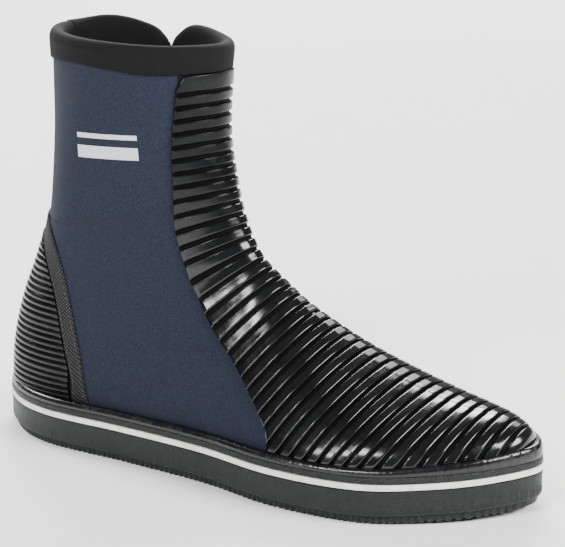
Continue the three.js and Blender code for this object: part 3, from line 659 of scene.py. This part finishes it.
def heel_counter():
    """Heel rubber with fine rounded ribs that follow the height."""
    per_rib = 10
    count = int(round((HEEL_TOP_Z - HEEL_BOTTOM_Z) / HEEL_PITCH)) * per_rib
    z = np.linspace(HEEL_BOTTOM_Z, HEEL_TOP_Z, count + 1)
    phase = ((z - HEEL_BOTTOM_Z) / HEEL_PITCH) % 1
    rib = 1.05 * (1 - np.abs(np.sin(phase * math.pi)) ** 0.55)
    rib *= smooth_step(z, HEEL_BOTTOM_Z + 2, HEEL_BOTTOM_Z + 4)
    row = row_at_height(z)
    spine = catmull(ROWS, row)[:, 2]
    heel = np.interp(z, DENSE_BACK[:, 0], DENSE_BACK[:, 1])
    share = np.clip((edge_spline(HEEL_EDGE, z) - spine) / (heel - spine), 0.0, 0.995)
    limit = np.arccos(share) / (math.pi / 2)
    columns = np.linspace(-1, 1, 61)
    around = columns[None, :] * limit[:, None]
    reach = 40.0 * limit[:, None] * (1 - np.abs(columns))[None, :]
    depth = rib[:, None] * (0.3 + 0.7 * smooth_step(reach, 0.3, 1.4))
    outer = back_skin(row, around, depth + 0.4 * (1 - smooth_step(reach, 0, 0.5)))
    inner = back_skin(row, around, np.full(around.shape, RUBBER))
    plate_piece("heel_ribbed", outer, inner, [HEEL_GLOSS], "black_rubber", replaces=["heel_counter"])


# ---- foam panels
PANEL_ROWS = np.concatenate([np.linspace(5.9, 10, 42), np.linspace(10, PANEL_TOP_ROW, 80)[1:]])


def panel(name, side, limits, replaces):
    """Navy foam panel on one side: limits(row, path) gives its highest and lowest x on a row."""
    grids = []
    for depth in (FOAM_DEPTH, LINING_DEPTH):
        lines = []
        for row in PANEL_ROWS:
            path = side_path(row, side, depth)
            high, low = limits(row, path)
            if high - low < 0.02:
                continue
            lines.append(resample(cut_path(path, high, low), 64))
        grids.append(down_to(BASE_Z - 4, np.stack(lines)))
    plate_piece(name, grids[0], grids[1], [NAVY, LINING], "navy_neoprene", replaces=[replaces])


def back_limit(path):
    """Where a side panel ends behind: at the heel seam, or at the rear seam above it."""
    x, z = path[:, 0], path[:, 2]
    past = (x < heel_seam_x(z)) & (z < SEAM_TOP_Z)
    return x[past].max() if past.any() else x.min() - 1


def lateral_limits(row, path):
    return FAR, back_limit(path)


ZIP_SLOT_END_ROW = float(row_at_height(ZIP_SLOT_END_Z))


def zip_side(row, path, offset):
    """x of the zip slot's edge on a row, or the seam under it."""
    middle = zip_middle(path)
    reach = offset if row > ZIP_SLOT_END_ROW else math.copysign(GAP / 2, offset)
    blend = min(1.0, (row - CORNER_ROW) / 0.6)
    spine = catmull(ROWS, row)[0, 2]
    return spine + (middle + reach - spine) * blend


def medial_front_limits(row, path):
    if row <= CORNER_ROW:
        return FAR, -FAR
    return FAR, zip_side(row, path, ZIP_SLOT_HALF)


def medial_rear_limits(row, path):
    if row <= CORNER_ROW + 0.05:
        return 0, 0
    return zip_side(row, path, -ZIP_SLOT_HALF), back_limit(path)


def front_foam():
    """Foam under the ribbed vamp; its inner face is the lining seen through the mouth."""
    rows = np.concatenate([np.linspace(0, 1, 6), np.linspace(1, PANEL_TOP_ROW, 110)[1:]])
    edge = np.minimum(1, edge_spline(VAMP_EDGE, np.minimum(rows, VAMP_CORNER_ROW)) - 0.023)
    edge = np.where(rows < 5.9, 1.0, edge)
    around = np.linspace(-1, 1, 61)[None, :] * edge[:, None]
    outer, inner = [front_skin(rows, around, np.full(around.shape, d)) for d in (FOAM_DEPTH, LINING_DEPTH)]
    plate_piece("front_foam", outer, inner, [BLACK_KNIT, LINING], "black_neoprene",
                replaces=["front_foam_panel"])


def heel_foam():
    """Foam under the heel rubber and its tapes, joined over the rear seam."""
    rows = TAPE_ROWS[TAPE_ROWS < 13.4]
    grids = []
    for depth in (FOAM_DEPTH, LINING_DEPTH):
        sides = [span_grid(rows, side, depth, lambda z: heel_seam_x(z) - 0.3, None, 30) for side in (-1, 1)]
        grids.append(np.concatenate([sides[0], sides[1][:, ::-1][:, 1:]], axis=1))
    plate_piece("heel_foam", grids[0], grids[1], [BLACK_KNIT, LINING], "black_neoprene",
                replaces=["heel_foam_panel"])


def gusset():
    """Stretch cloth behind the zip."""
    rows = row_at_height(np.linspace(64, 190, 60))
    grids = []
    for depth in (LINING_DEPTH + GAP, LINING_DEPTH + 1.6):
        lines = []
        for row in rows:
            path = side_path(row, 1, depth)
            middle = zip_middle(path)
            lines.append(resample(cut_path(path, middle + GUSSET_HALF, middle - GUSSET_HALF), 24))
        grids.append(np.stack(lines))
    plate_piece("zip_gusset_cloth", grids[0], grids[1], [LINING], "black_neoprene", replaces=["zip_gusset"])


# ---- collar
# Height of the rim over x, lateral side from front to back, then the medial side from back to front.
RIM_LATERAL = np.array([(-14, 210.0), (-30, 210.6), (-55, 211.8), (-80, 213.2), (-100, 214.6),
                        (-112, 216.0)])
RIM_MEDIAL = np.array([(-14, 210.0), (-30, 211.0), (-49, 213.5), (-57, 213.7), (-62, 212.0), (-66.5, 208.2),
                       (-71.5, 205.0), (-80, 211.3), (-90, 215.2), (-98, 217.2), (-105, 217.8),
                       (-112, 216.6)])
# Height of the collar's lower edge over x.
COLLAR_LOW = np.array([(-14, 196.8), (-37, 196.6), (-56, 198.8), (-73, 200.4), (-95, 200.9), (-112, 199.6)])
NOTCH_X = -69.2


HALF_RING = 161
RING = 2 * HALF_RING - 1
COLLAR_STATIONS = 340
# Section of the binding, in stretches: what heights are measured from, then (depth, height) points.
COLLAR_SECTION = [
    ("above low", [(1.7, 0.0), (1.1, 0.0), (0.8, 0.35), (0.65, 1.2)]),
    ("share", [(0.45, 0.35), (0.3, 0.6)]),
    ("below rim", [(0.25, 4.8), (0.45, 3.2), (0.95, 1.8), (1.8, 0.8), (2.9, 0.2), (4.2, 0.0), (5.5, 0.25),
                   (6.6, 1.0), (7.5, 2.2), (8.1, 3.8), (8.4, 6.0), (8.5, 11.0), (8.5, 17.6), (8.0, 18.2),
                   (7.2, 18.2), (7.2, 11.0), (7.2, 4.6), (4.5, 4.2), (1.7, 4.6)]),
    ("share", [(1.6, 0.6), (1.6, 0.3)])]


def collar_path(depth, z_of):
    """Ring of the skin near the mouth at the heights z_of, over the front and then round the back."""
    lines = []
    for row in (15.6, LAST_ROW):
        front = front_skin(row, np.linspace(1, -1, HALF_RING)[None, :], depth)[0]
        back = back_skin(row, np.linspace(-1, 1, HALF_RING)[None, 1:], depth)[0]
        lines.append(np.vstack([front, back]))
    low, high = lines
    f = ((z_of - low[:, 2]) / (high[:, 2] - low[:, 2]))[:, None]
    return low + (high - low) * f


def collar_rings(x, medial):
    """The binding's section carried all the way round the mouth."""
    rim = np.where(medial, edge_spline(RIM_MEDIAL[::-1], x), edge_spline(RIM_LATERAL[::-1], x))
    low = edge_spline(COLLAR_LOW[::-1], x)
    rng = np.random.default_rng(4)
    wobble = np.convolve(rng.normal(0, 1, RING + 40), np.hanning(41) / 12, "valid")[:RING]
    rim = rim + 0.25 * wobble
    rings = []
    for kind, points in COLLAR_SECTION:
        for depth, value in points:
            between = low + (rim - low) * value
            heights = {"above low": low + value, "share": between, "below rim": rim - value}
            rings.append(collar_path(depth, heights[kind]))
    return np.stack(rings)


def open_at_notch(rings):
    """Even stations along rings that start and end at the notch, which is wider at the top."""
    run = np.r_[0, np.cumsum(np.linalg.norm(np.diff(rings[5], axis=0), axis=1))]
    even = np.linspace(0, 1, COLLAR_STATIONS)
    eased = 0.25 * smooth_step(even, -0.0001, 1.0001) + 0.75 * even
    stations = []
    for ring in rings:
        height = np.clip((ring[:, 2].mean() - 196) / 16, 0, 1)
        first = 0.9 + 1.6 * height
        last = run[-1] - 0.9 - 2.2 * height
        want = first + (last - first) * eased
        stations.append(np.stack([np.interp(want, run, ring[:, i]) for i in range(3)], -1))
    return np.stack(stations)


def collar():
    """Folded neoprene binding: an upside-down U swept round the mouth, open at the zip."""
    plain = collar_path(0.0, np.full(RING, 205.0))
    x, y = plain[:, 0], plain[:, 1]
    medial = y > 1.5
    rings = collar_rings(x, medial)
    start = int(np.argmin(np.abs(x - NOTCH_X) + np.where(medial, 0, FAR)))
    made = open_at_notch(rings[:, np.r_[np.arange(start, RING), np.arange(1, start + 1)]])
    # both free ends are rounded off
    for from_end, size in enumerate((0.80, 0.92, 0.975)):
        for index in (from_end, COLLAR_STATIONS - 1 - from_end):
            centre = made[:, index].mean(axis=0)
            made[:, index] = centre + (made[:, index] - centre) * size
    ring_piece("collar_binding", made, [BLACK_KNIT], "black_neoprene", closed_path=False,
               replaces=["collar"])


# ---- tapes and stitching
TAPE_ROWS = np.concatenate([np.linspace(9.78, 10, 12), np.linspace(10, 12, 60)[1:],
                            np.linspace(12, 13.62, 70)[1:]])


def heel_tape(side, name, node):
    """Arch of tape beside and over the heel counter, on one side of the rear seam."""
    outer = span_grid(TAPE_ROWS, side, RUBBER - TAPE, tape_front_line, tape_rear_line, 13)
    inner = span_grid(TAPE_ROWS, side, RUBBER, tape_front_line, tape_rear_line, 13)
    out = outer - inner
    outer[:, [0, -1]] -= 0.45 * out[:, [0, -1]]
    plate_piece(name, outer, inner, [TAPE_CLOTH], "woven_tape", replaces=[node])
    out /= np.linalg.norm(out, axis=2)[:, :, None] + 1e-9
    for column, place in ((2, "front"), (10, "rear")):
        keep = (outer[:, column, 2] > 28) & (outer[:, column, 2] < 112)
        stitch_row(f"{name}_stitches_{place}", outer[keep, column], out[keep, column])


def rear_seam_tape():
    """Ribbon down the rear seam, thinner towards both edges."""
    row = row_at_height(np.linspace(124.5, 190.5, 70))
    across = np.linspace(-1, 1, 11)
    around = 0.072 * across[None, :]
    edge = 0.3 * (1 - smooth_step(1 - np.abs(across), 0, 0.25))[None, :]
    outer = back_skin(row, around, RUBBER - TAPE + np.tile(edge, (len(row), 1)))
    inner = back_skin(row, around, np.full((len(row), 11), RUBBER))
    plate_piece("rear_seam_ribbon", outer, inner, [TAPE_CLOTH], "woven_tape", replaces=["rear_seam_tape"])


STITCH = 2.1
STITCH_GAP = 0.9
THREAD_RADIUS = 0.32


def stitch_row(name, path, normals):
    """Thread stitches along a path: short rounded bars that dive at both ends."""
    run = np.r_[0, np.cumsum(np.linalg.norm(np.diff(path, axis=0), axis=1))]
    size = THREAD_RADIUS * np.array([0.35, 0.85, 1.0, 0.85, 0.35])
    lift = THREAD_RADIUS * np.array([-0.9, -0.1, 0.25, -0.1, -0.9])
    verts = []
    faces = []
    for start in np.arange(0, run[-1] - STITCH, STITCH + STITCH_GAP):
        at = start + STITCH * np.array([0.0, 0.12, 0.5, 0.88, 1.0])
        points = np.stack([np.interp(at, run, path[:, i]) for i in range(3)], -1)
        up = np.stack([np.interp(at, run, normals[:, i]) for i in range(3)], -1)
        tangent = points[-1] - points[0]
        tangent /= np.linalg.norm(tangent) + 1e-9
        base = len(verts)
        for point, out, wide, high in zip(points, up, size, lift):
            sideways = np.cross(tangent, out)
            for angle in np.arange(6) * math.pi / 3:
                spoke = math.cos(angle) * sideways + math.sin(angle) * out
                verts.append(point + out * high + wide * spoke)
        faces += grid_faces(5, 6, base, wrap_columns=True)
        faces.append([base + j for j in range(6)][::-1])
        faces.append([base + 24 + j for j in range(6)])
    new_piece(name, verts, faces, [THREAD], "woven_tape")


# ---- sole
SOLE_STATIONS = 1200


def outline(count):
    """Evenly spaced points round the sole and the inward direction at each."""
    points = np.vstack([SOLE_OUTLINE, SOLE_OUTLINE, SOLE_OUTLINE])
    n = len(SOLE_OUTLINE)
    dense = catmull(points, np.linspace(n, 2 * n, 2400))[:-1]
    even = resample(dense, count, closed=True)
    tangent = np.roll(even, -1, axis=0) - np.roll(even, 1, axis=0)
    tangent /= np.linalg.norm(tangent, axis=1)[:, None]
    return even, np.stack([-tangent[:, 1], tangent[:, 0]], -1)


def raised(x, y, z):
    """Points at height z above the sprung sole."""
    return np.stack([x, y, z + toe_spring(x)], -1)


def sole_ring(name, levels, look, slot, replaces=(), crinkle=None):
    """Closed band round the sole: levels are (z, inset), up the outside and down the inside."""
    even, inward = outline(SOLE_STATIONS)
    rings = []
    for z, inset in levels:
        x, y = (even + inward * inset).T
        rings.append(raised(x, y, z(x) if callable(z) else z))
    rings = np.stack(rings)
    if crinkle:
        rings = crinkle(rings, even, inward)
    ring_piece(name, rings, [look], slot, replaces=replaces)


def sole_middle(x, heel_y, toe_y):
    """y of the sole's middle line, from heel to toe."""
    return np.interp(x, (-152, -60, 40, 152), (heel_y, 1.0, 1.0, toe_y))


def soft_noise(count, waves, seed):
    """Smooth closed random line, about -1 to 1."""
    rng = np.random.default_rng(seed)
    angle = np.linspace(0, 2 * math.pi, count, endpoint=False)
    total = np.zeros(count)
    for k in range(max(2, waves // 3), waves):
        total += rng.normal() * np.cos(k * angle + rng.uniform(0, 6.3))
    return total / (np.abs(total).max() + 1e-9)


def lip_height(x):
    """How much higher the sealing bead climbs round the toe."""
    return 3.4 * np.clip((x - 100) / 50, 0, 1)


def sidewall():
    """Stippled rubber wall, a little hollow, with creases where it was pressed round the toe."""
    levels = [(4.3, 0.9), (5.2, 0.35), (7.5, 0.45), (10.0, 0.55), (12.5, 0.45), (14.6, 0.3), (16.0, 0.35),
              (16.3, 0.9), (16.3, 3.2), (4.3, 3.8)]

    def crinkle(rings, even, inward):
        near_toe = smooth_step(even[:, 0], 70, 130)
        wave = soft_noise(len(even), 260, 3) * (0.12 + 0.38 * near_toe)
        for level, share in ((1, 0.5), (2, 1.0), (3, 0.5), (5, 0.3)):
            rings[level, :, :2] += inward * (np.maximum(wave, -0.2) * share)[:, None]
        return rings

    sole_ring("sidewall_rubber", levels, SOLE, "sole_rubber", ["foxing_sidewall"], crinkle)


def stripe():
    """White stripe, rounded at both edges and sunk between the two black bands."""
    low, high = STRIPE_BOTTOM, STRIPE_TOP
    levels = [(low, 0.6), (low + 0.25, 0.12), (low + 1, 0.0), (high - 1, 0.0), (high - 0.25, 0.12),
              (high, 0.6), (high, 3.0), (low, 3.0)]
    sole_ring("stripe_rubber", levels, WHITE, "white_rubber", ["foxing_stripe"])


def top_band():
    """Black band in two steps: a stippled strip, and a smooth bead that seals the upper."""
    strip = [(19.9, 0.7), (20.1, 0.25), (21.4, 0.35), (22.5, 0.55), (22.9, 0.8), (22.9, 2.9), (19.9, 2.9)]
    sole_ring("band_strip", strip, SOLE, "black_rubber")

    def rise(z, share):
        return lambda x: z + share * lip_height(x)

    bead = [(22.9, 1.0), (rise(23.2, 0.1), 0.65), (rise(24.2, 0.35), 0.6), (rise(25.3, 0.7), 0.95),
            (rise(26.1, 0.95), 1.6), (rise(26.4, 1.0), 2.6), (rise(26.2, 1.0), 4.9), (23.0, 4.9)]

    def crinkle(rings, even, inward):
        near_toe = smooth_step(even[:, 0], 60, 125)
        rough = soft_noise(len(even), 300, 8) * (0.10 + 0.10 * near_toe)
        for level in (2, 3, 4):
            rings[level, :, :2] += inward * rough[:, None]
        rings[5, :, 2] += rough * 1.2
        return rings

    sole_ring("band_bead", bead, BAND, "black_rubber", ["foxing_top_band"], crinkle)


SIPE_PITCH = 3.1
SIPE_DEPTH = 1.4
OUTSOLE_TOP = 4.0


def sipe_cut(x, y):
    """Depth of the sipes, which run across in a shallow zigzag."""
    zigzag = 3.0 * np.abs(((y / 18.0) % 2) - 1)
    phase = np.abs((((x + zigzag) / SIPE_PITCH) % 1) - 0.5)
    return SIPE_DEPTH * (1 - smooth_step(phase, 0.10, 0.2))


def outsole():
    """Siped outsole: the cuts notch both edges."""
    even, inward = outline(1400)
    middle = sole_middle(even[:, 0], 3.5, 9.0)
    rings = []
    x, y = (even + inward * 3.0).T
    for share in (0.0, 0.12, 0.25, 0.38, 0.5, 0.62, 0.75, 0.88, 1.0):
        across = middle + (y - middle) * share
        rings.append(raised(x, across, sipe_cut(x, across) * (0.9 if share < 1 else 1.0)))
    for z, inset in ((0.9, 2.35), (2.2, 2.1), (3.3, 2.05), (3.8, 2.1), (OUTSOLE_TOP, 2.5)):
        flat = even + inward * inset
        notch = 0.35 * sipe_cut(flat[:, 0], flat[:, 1]) * (z < 3.5)
        x, y = (flat + inward * notch[:, None]).T
        rings.append(np.stack([x, y, z + toe_spring(flat[:, 0])], -1))
    x, y = (even + inward * 2.5).T
    for share in (0.6, 0.0):
        rings.append(raised(x, middle + (y - middle) * share, OUTSOLE_TOP))
    ring_piece("siped_outsole", np.stack(rings), [SOLE], "sole_rubber", replaces=["outsole"])


# ---- zip
ZIP_UP = (ZIP_TOP - ZIP_BOTTOM) / np.linalg.norm(ZIP_TOP - ZIP_BOTTOM)
ZIP_ACROSS = np.array([-1.0, 0, 0]) + ZIP_UP * ZIP_UP[0]
ZIP_ACROSS /= np.linalg.norm(ZIP_ACROSS)
ZIP_OUT = np.cross(ZIP_ACROSS, ZIP_UP)
ZIP_ORIGIN = ZIP_TOP - ZIP_UP * ZIP_PARKED
COIL_BOTTOM = -104.6
COIL_TOP = 7.2
COIL_STEP = 1.35


def from_zip(points):
    """Zip frame (across to the heel, up along the zip, out of the boot) to the row's frame."""
    points = np.asarray(points, float)
    return ZIP_ORIGIN + points @ np.stack([ZIP_ACROSS, ZIP_UP, ZIP_OUT])


def zip_coil(sign, name, node):
    """Nylon coil: loops with a flat head towards the middle, sewn to the tape."""
    turns = int((COIL_TOP - COIL_BOTTOM - 1) / COIL_STEP)
    per_turn = 14
    t = np.arange(turns * per_turn + 1) / per_turn
    angle = 2 * math.pi * t * sign
    x = 1.62 + 0.78 * np.cos(angle) + 0.12 * np.cos(2 * angle)
    z = 0.92 + 0.52 * np.sin(angle)
    y = COIL_BOTTOM + 0.5 + COIL_STEP * (t + (0.45 if sign > 0 else 0.0))
    line = np.stack([sign * x, np.minimum(y, COIL_TOP - 0.4), z], -1)
    zip_tube(name, line, 0.33, 6, replaces=[node])


def zip_tube(name, line, radius, around, **more):
    """Plastic thread of one thickness along a line in the zip's frame."""
    tangent = np.gradient(line, axis=0)
    tangent /= np.linalg.norm(tangent, axis=1)[:, None] + 1e-9
    up = np.array([0.0, 1.0, 0.0])
    first = np.cross(tangent, up)
    first /= np.linalg.norm(first, axis=1)[:, None] + 1e-9
    second = np.cross(tangent, first)
    angles = np.arange(around) * 2 * math.pi / around
    rings = [line + radius * (math.cos(a) * first + math.sin(a) * second) for a in angles]
    ring_piece(name, from_zip(np.stack(rings)), [PLASTIC], "zip_plastic", closed_path=False, **more)


def prism(outline_points, low, high, bevel, axis="z"):
    """Bevelled prism as (verts, faces); the outline is in the plane across the axis."""
    shape = bmesh.new()
    lower = [shape.verts.new((a, b, low) if axis == "z" else (low, a, b)) for a, b in outline_points]
    upper = [shape.verts.new((a, b, high) if axis == "z" else (high, a, b)) for a, b in outline_points]
    shape.faces.new(lower[::-1])
    shape.faces.new(upper)
    for i in range(len(lower)):
        k = (i + 1) % len(lower)
        shape.faces.new((lower[i], lower[k], upper[k], upper[i]))
    bmesh.ops.recalc_face_normals(shape, faces=shape.faces)
    if bevel:
        sharp = [e for e in shape.edges if e.calc_face_angle(0) > math.radians(25)]
        bmesh.ops.bevel(shape, geom=sharp, offset=bevel, segments=2, profile=0.6, affect="EDGES")
    shape.verts.index_update()
    verts = [tuple(v.co) for v in shape.verts]
    faces = [[v.index for v in f.verts] for f in shape.faces]
    shape.free()
    return verts, faces


def rectangle(x0, x1, y0, y1):
    return [(x0, y0), (x1, y0), (x1, y1), (x0, y1)]


def zip_part(name, shapes, node, body):
    """One piece made of several bevelled shapes given in the zip's frame."""
    verts = []
    faces = []
    for shape_verts, shape_faces in shapes:
        base = len(verts)
        verts += shape_verts
        faces += [[base + i for i in face] for face in shape_faces]
    new_piece(name, from_zip(verts), faces, [PLASTIC], "zip_plastic", body=body, replaces=[node],
              weld=0.0005)


def zip_pieces():
    """The whole zip, from its teeth to its pull."""
    zip_coil(-1, "coil_front", "zip_teeth_front")
    zip_coil(1, "coil_rear", "zip_teeth_rear")
    for sign, name in ((-1, "front"), (1, "rear")):
        low, high = sorted((sign * 0.8, sign * 3.6))
        zip_part(f"top_stop_{name}", [prism(rectangle(low, high, 7.5, 9.5), -0.2, 1.8, 0.35)],
                 f"zip_top_stop_{name}", BODY)
        zip_tape(sign, f"tape_{name}", f"zip_tape_{name}")
    zip_part("bottom_stop", [prism(rectangle(-3.6, 3.6, -107.9, -104.9), -0.2, 2.0, 0.5)],
             "zip_bottom_stop", BODY)
    zip_slider()
    zip_pull()


def zip_tape(sign, name, node):
    """Half of the zip's tape, from beside the coil to its sewn edge, with a raised selvedge."""
    rows = row_at_height(np.linspace(ZIP_SLOT_END_Z - 1.5, 198.5, 140))
    grids = []
    for depth in (RUBBER - TAPE, RUBBER):
        lines = []
        for row in rows:
            path = side_path(row, 1, 0.0)
            middle = zip_middle(path)
            offsets = sign * np.array([0.8, 1.2, 2.4, 2.9, 3.1, 5.0, 7.0, 9.0, 11.0, 11.7, 12.0])
            sunk = np.array([0.25, 0.0, 0.0, 0.05, 0.25, 0.25, 0.2, 0.12, 0.1, 0.18, 0.45])
            inner = side_path(row, 1, depth)
            deeper = side_path(row, 1, depth + 1.0)
            line = []
            for offset, down in zip(offsets, sunk):
                a = cut_path(inner, middle + offset, -300)[0]
                b = cut_path(deeper, middle + offset, -300)[0]
                line.append(a + (b - a) * (down if depth < 1 else 0))
            lines.append(line)
        grids.append(np.array(lines))
    plate_piece(name, grids[0], grids[1], [TAPE_CLOTH], "woven_tape", replaces=[node])
    out = grids[0][:, 8] - grids[1][:, 8]
    out /= np.linalg.norm(out, axis=1)[:, None]
    stitch_row(name + "_stitches", grids[0][:, 8], out)


def zip_slider():
    """Slider: two plates held apart by a post, with flanges at the sides and a bail on top."""
    plate = [(-3.0, -6.5), (3.0, -6.5), (4.6, -4.6), (5.6, 1.0), (5.6, 4.4), (4.0, 6.3), (1.2, 6.5),
             (0.0, 5.6), (-1.2, 6.5), (-4.0, 6.3), (-5.6, 4.4), (-5.6, 1.0), (-4.6, -4.6)]
    shapes = [prism(plate, 2.2, 3.4, 0.35), prism(plate, -3.9, -2.9, 0.3)]
    for sign in (-1, 1):
        flange = [(sign * 3.3, -6.2), (sign * 4.1, -4.4), (sign * 5.5, 0.8), (sign * 5.5, 4.4),
                  (sign * 4.2, 6.0), (sign * 3.3, 4.4)]
        shapes.append(prism(flange, 0.35, 2.3, 0.2))
    shapes.append(prism(rectangle(-0.38, 0.38, 3.5, 6.0), -3.0, 2.3, 0.08))
    bail = [(-4.2, 3.0), (-4.2, 5.6), (-3.2, 6.8), (-1.8, 7.0), (1.8, 7.0), (3.2, 6.8), (4.2, 5.6),
            (4.2, 3.0), (2.9, 3.0), (2.9, 5.3), (2.3, 5.95), (-2.3, 5.95), (-2.9, 5.3), (-2.9, 3.0)]
    shapes.append(prism(bail, -0.95, 0.95, 0.22, axis="x"))
    zip_part("slider_body", shapes, "zip_slider", "slider")


def zip_pull():
    """Pull: a ridged tab on two arms, with a round rail that sits in the slider's bail."""
    tab = [(-3.4, -7.6), (-3.4, -24.4), (-2.8, -26.2), (-1.4, -27.0), (1.4, -27.0), (2.8, -26.2),
           (3.4, -24.4), (3.4, -7.6), (2.2, -6.2), (-2.2, -6.2)]
    shapes = [prism(tab, 4.2, 5.4, 0.4)]
    for sign in (-1, 1):
        low, high = sorted((sign * 1.85, sign * 3.4))
        shapes.append(prism(rectangle(low, high, -7.9, 0.8), 4.05, 5.55, 0.35))
    for y in (-24.2, -22.6, -21.0, -19.4, -17.8, -16.2):
        shapes.append(prism(rectangle(-2.3, 2.3, y - 0.35, y + 0.35), 4.0, 5.6, 0.12))
    rail = [(0.78 * math.cos(a), 4.8 + 0.78 * math.sin(a)) for a in np.arange(16) * math.pi / 8]
    shapes.append(prism(rail, -2.6, 2.6, 0.0, axis="x"))
    zip_part("pull_tab", shapes, "zip_pull", "pull")


# ---- insole and print
FOOTBED_BOTTOM = 14.35
FOOTBED_TOP = 19.2


def footbed():
    """Loose footbed: knit-covered foam, dished at the heel and rounded at its edge."""
    even, inward = outline(260)
    middle = sole_middle(even[:, 0], 3.0, 8.0)
    rings = []
    for z, inset in ((FOOTBED_BOTTOM, 0.5), (15.5, 0.0), (17.6, 0.0), (18.7, 0.5), (FOOTBED_TOP, 1.6)):
        x, y = (even + inward * (12.2 + inset)).T
        rings.append(raised(x, y, z))
    x, y = (even + inward * 13.8).T
    for share in (0.9, 0.75, 0.55, 0.3, 0.0):
        sag = 1.3 * (1 - share) ** 0.6 * smooth_step(-x, 10, 90)
        rings.append(raised(x, middle + (y - middle) * share, FOOTBED_TOP - sag))
    x, y = (even + inward * 12.7).T
    for share in (0.0, 0.6):
        rings.append(raised(x, middle + (y - middle) * share, FOOTBED_BOTTOM))
    ring_piece("footbed_cover", np.stack(rings), [LINING], "footbed", replaces=["footbed"])


PRINT_HEIGHT = 0.12


def print_patch():
    """Two plain printed bars on the lateral side of the shaft."""
    for index, (top, bottom) in enumerate([(166.8, 164.4), (160.6, 154.4)]):
        grids = []
        for depth in (FOAM_DEPTH - PRINT_HEIGHT, FOAM_DEPTH + 0.2):
            lines = []
            for z in np.linspace(top, bottom, 8):
                lines.append([surface_point(-1, x, z, depth) for x in np.linspace(-78, -46, 24)])
            grids.append(np.array(lines))
        plate_piece(f"print_bar_{index}", grids[0], grids[1], [PRINT], "navy_neoprene")


def surface_point(side, x, z, depth):
    """Point of the skin with this x and z, on one side."""
    low, high = CORNER_ROW, LAST_ROW
    for _ in range(18):
        row = (low + high) / 2
        path = side_path(row, side, depth)
        found = np.interp(-x, -path[:, 0], path[:, 2])
        low, high = (row, high) if found < z else (low, row)
    y = np.interp(-x, -path[:, 0], path[:, 1])
    return [x, y, z]


# ---- build
def dress_cad_nodes():
    """CAD nodes that stay as they are get their own finish."""
    for name, look in (("midsole_filler", FOAM), ("insole_board", BOARD)):
        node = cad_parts[name]
        node.data.materials.clear()
        node.data.materials.append(look)


def build_boot():
    vamp_rubber()
    heel_counter()
    front_foam()
    heel_foam()
    panel("lateral_panel", -1, lateral_limits, "lateral_quarter")
    panel("medial_front_panel", 1, medial_front_limits, "medial_front_quarter")
    panel("medial_rear_panel", 1, medial_rear_limits, "medial_rear_quarter")
    gusset()
    collar()
    heel_tape(-1, "heel_ribbon_lateral", "heel_tape_lateral")
    heel_tape(1, "heel_ribbon_medial", "heel_tape_medial")
    rear_seam_tape()
    sidewall()
    stripe()
    top_band()
    outsole()
    zip_pieces()
    footbed()
    print_patch()
    dress_cad_nodes()


# ---- studio
CAMERA_AT = Vector((0.44385, -0.72269, 0.31072))
CAMERA_AIM = Vector((0.01757, 0.0010, 0.09975))
FLOOR_SIZE = 14
WORLD_LIGHT = 0.22


def camera():
    """Long lens from the outer front, as high as a person looks at a shelf."""
    lens = bpy.data.cameras.new("camera")
    lens.lens = 112.9
    lens.sensor_width = 36.0
    lens.clip_start = 0.05
    lens.clip_end = 50
    shot = bpy.data.objects.new("camera", lens)
    bpy.context.scene.collection.objects.link(shot)
    shot.location = CAMERA_AT
    shot.rotation_euler = (CAMERA_AIM - CAMERA_AT).to_track_quat("-Z", "Y").to_euler()
    bpy.context.scene.camera = shot


def soft_box(name, at, aim, width, height, power):
    """Rectangular light, with sizes in metres and power in watts."""
    light = bpy.data.lights.new(name, "AREA")
    light.shape = "RECTANGLE"
    light.size = width
    light.size_y = height
    light.energy = power
    lamp = bpy.data.objects.new(name, light)
    bpy.context.scene.collection.objects.link(lamp)
    lamp.location = at
    lamp.rotation_euler = (Vector(aim) - Vector(at)).to_track_quat("-Z", "Y").to_euler()


def floor_look(n, shader):
    color = n.ramp(n.noise(6, 2), [(0.3, (0.90, 0.90, 0.905)), (0.7, (0.93, 0.93, 0.93))])
    n.finish(color, n.map(n.noise(9, 2), 0.3, 0.7, 0.75, 0.85))


def studio():
    """Pale floor, dim world, and soft boxes whose reflections streak the glossy ribs."""
    bpy.ops.mesh.primitive_plane_add(size=FLOOR_SIZE, location=(0, 0, 0))
    floor = bpy.context.object
    floor.name = "studio_floor"
    floor.data.materials.append(material("studio_floor", floor_look))
    world = bpy.data.worlds.new("studio")
    world.use_nodes = True
    back = world.node_tree.nodes["Background"]
    back.inputs["Color"].default_value = (1, 1, 1, 1)
    back.inputs["Strength"].default_value = WORLD_LIGHT
    bpy.context.scene.world = world
    soft_box("toe_side", (1.5, 0.05, 1.0), (0.05, 0, 0.05), 0.9, 0.6, 56)
    soft_box("heel_side", (-1.5, 0.35, 1.25), (-0.05, 0, 0.05), 0.5, 0.5, 24)
    soft_box("behind", (-0.5, 2.3, 1.7), (-0.1, 0.6, 0.0), 2.2, 0.8, 26)
    soft_box("floor_wash", (-1.6, 3.0, 2.6), (-0.7, 1.4, 0.0), 2.4, 1.4, 300)
    for step in range(3):
        place = (-0.40 + 0.23 * step, -1.24 + 0.15 * step, 0.54 + 0.24 * step)
        soft_box(f"instep_{step}", place, (0.02, 0, 0.1), 0.2, 0.26, 5.6)
    soft_box("front_fill", (0.25, -1.6, 1.5), (0.0, 0, 0.1), 0.5, 0.2, 13)


build_boot()
camera()
studio()
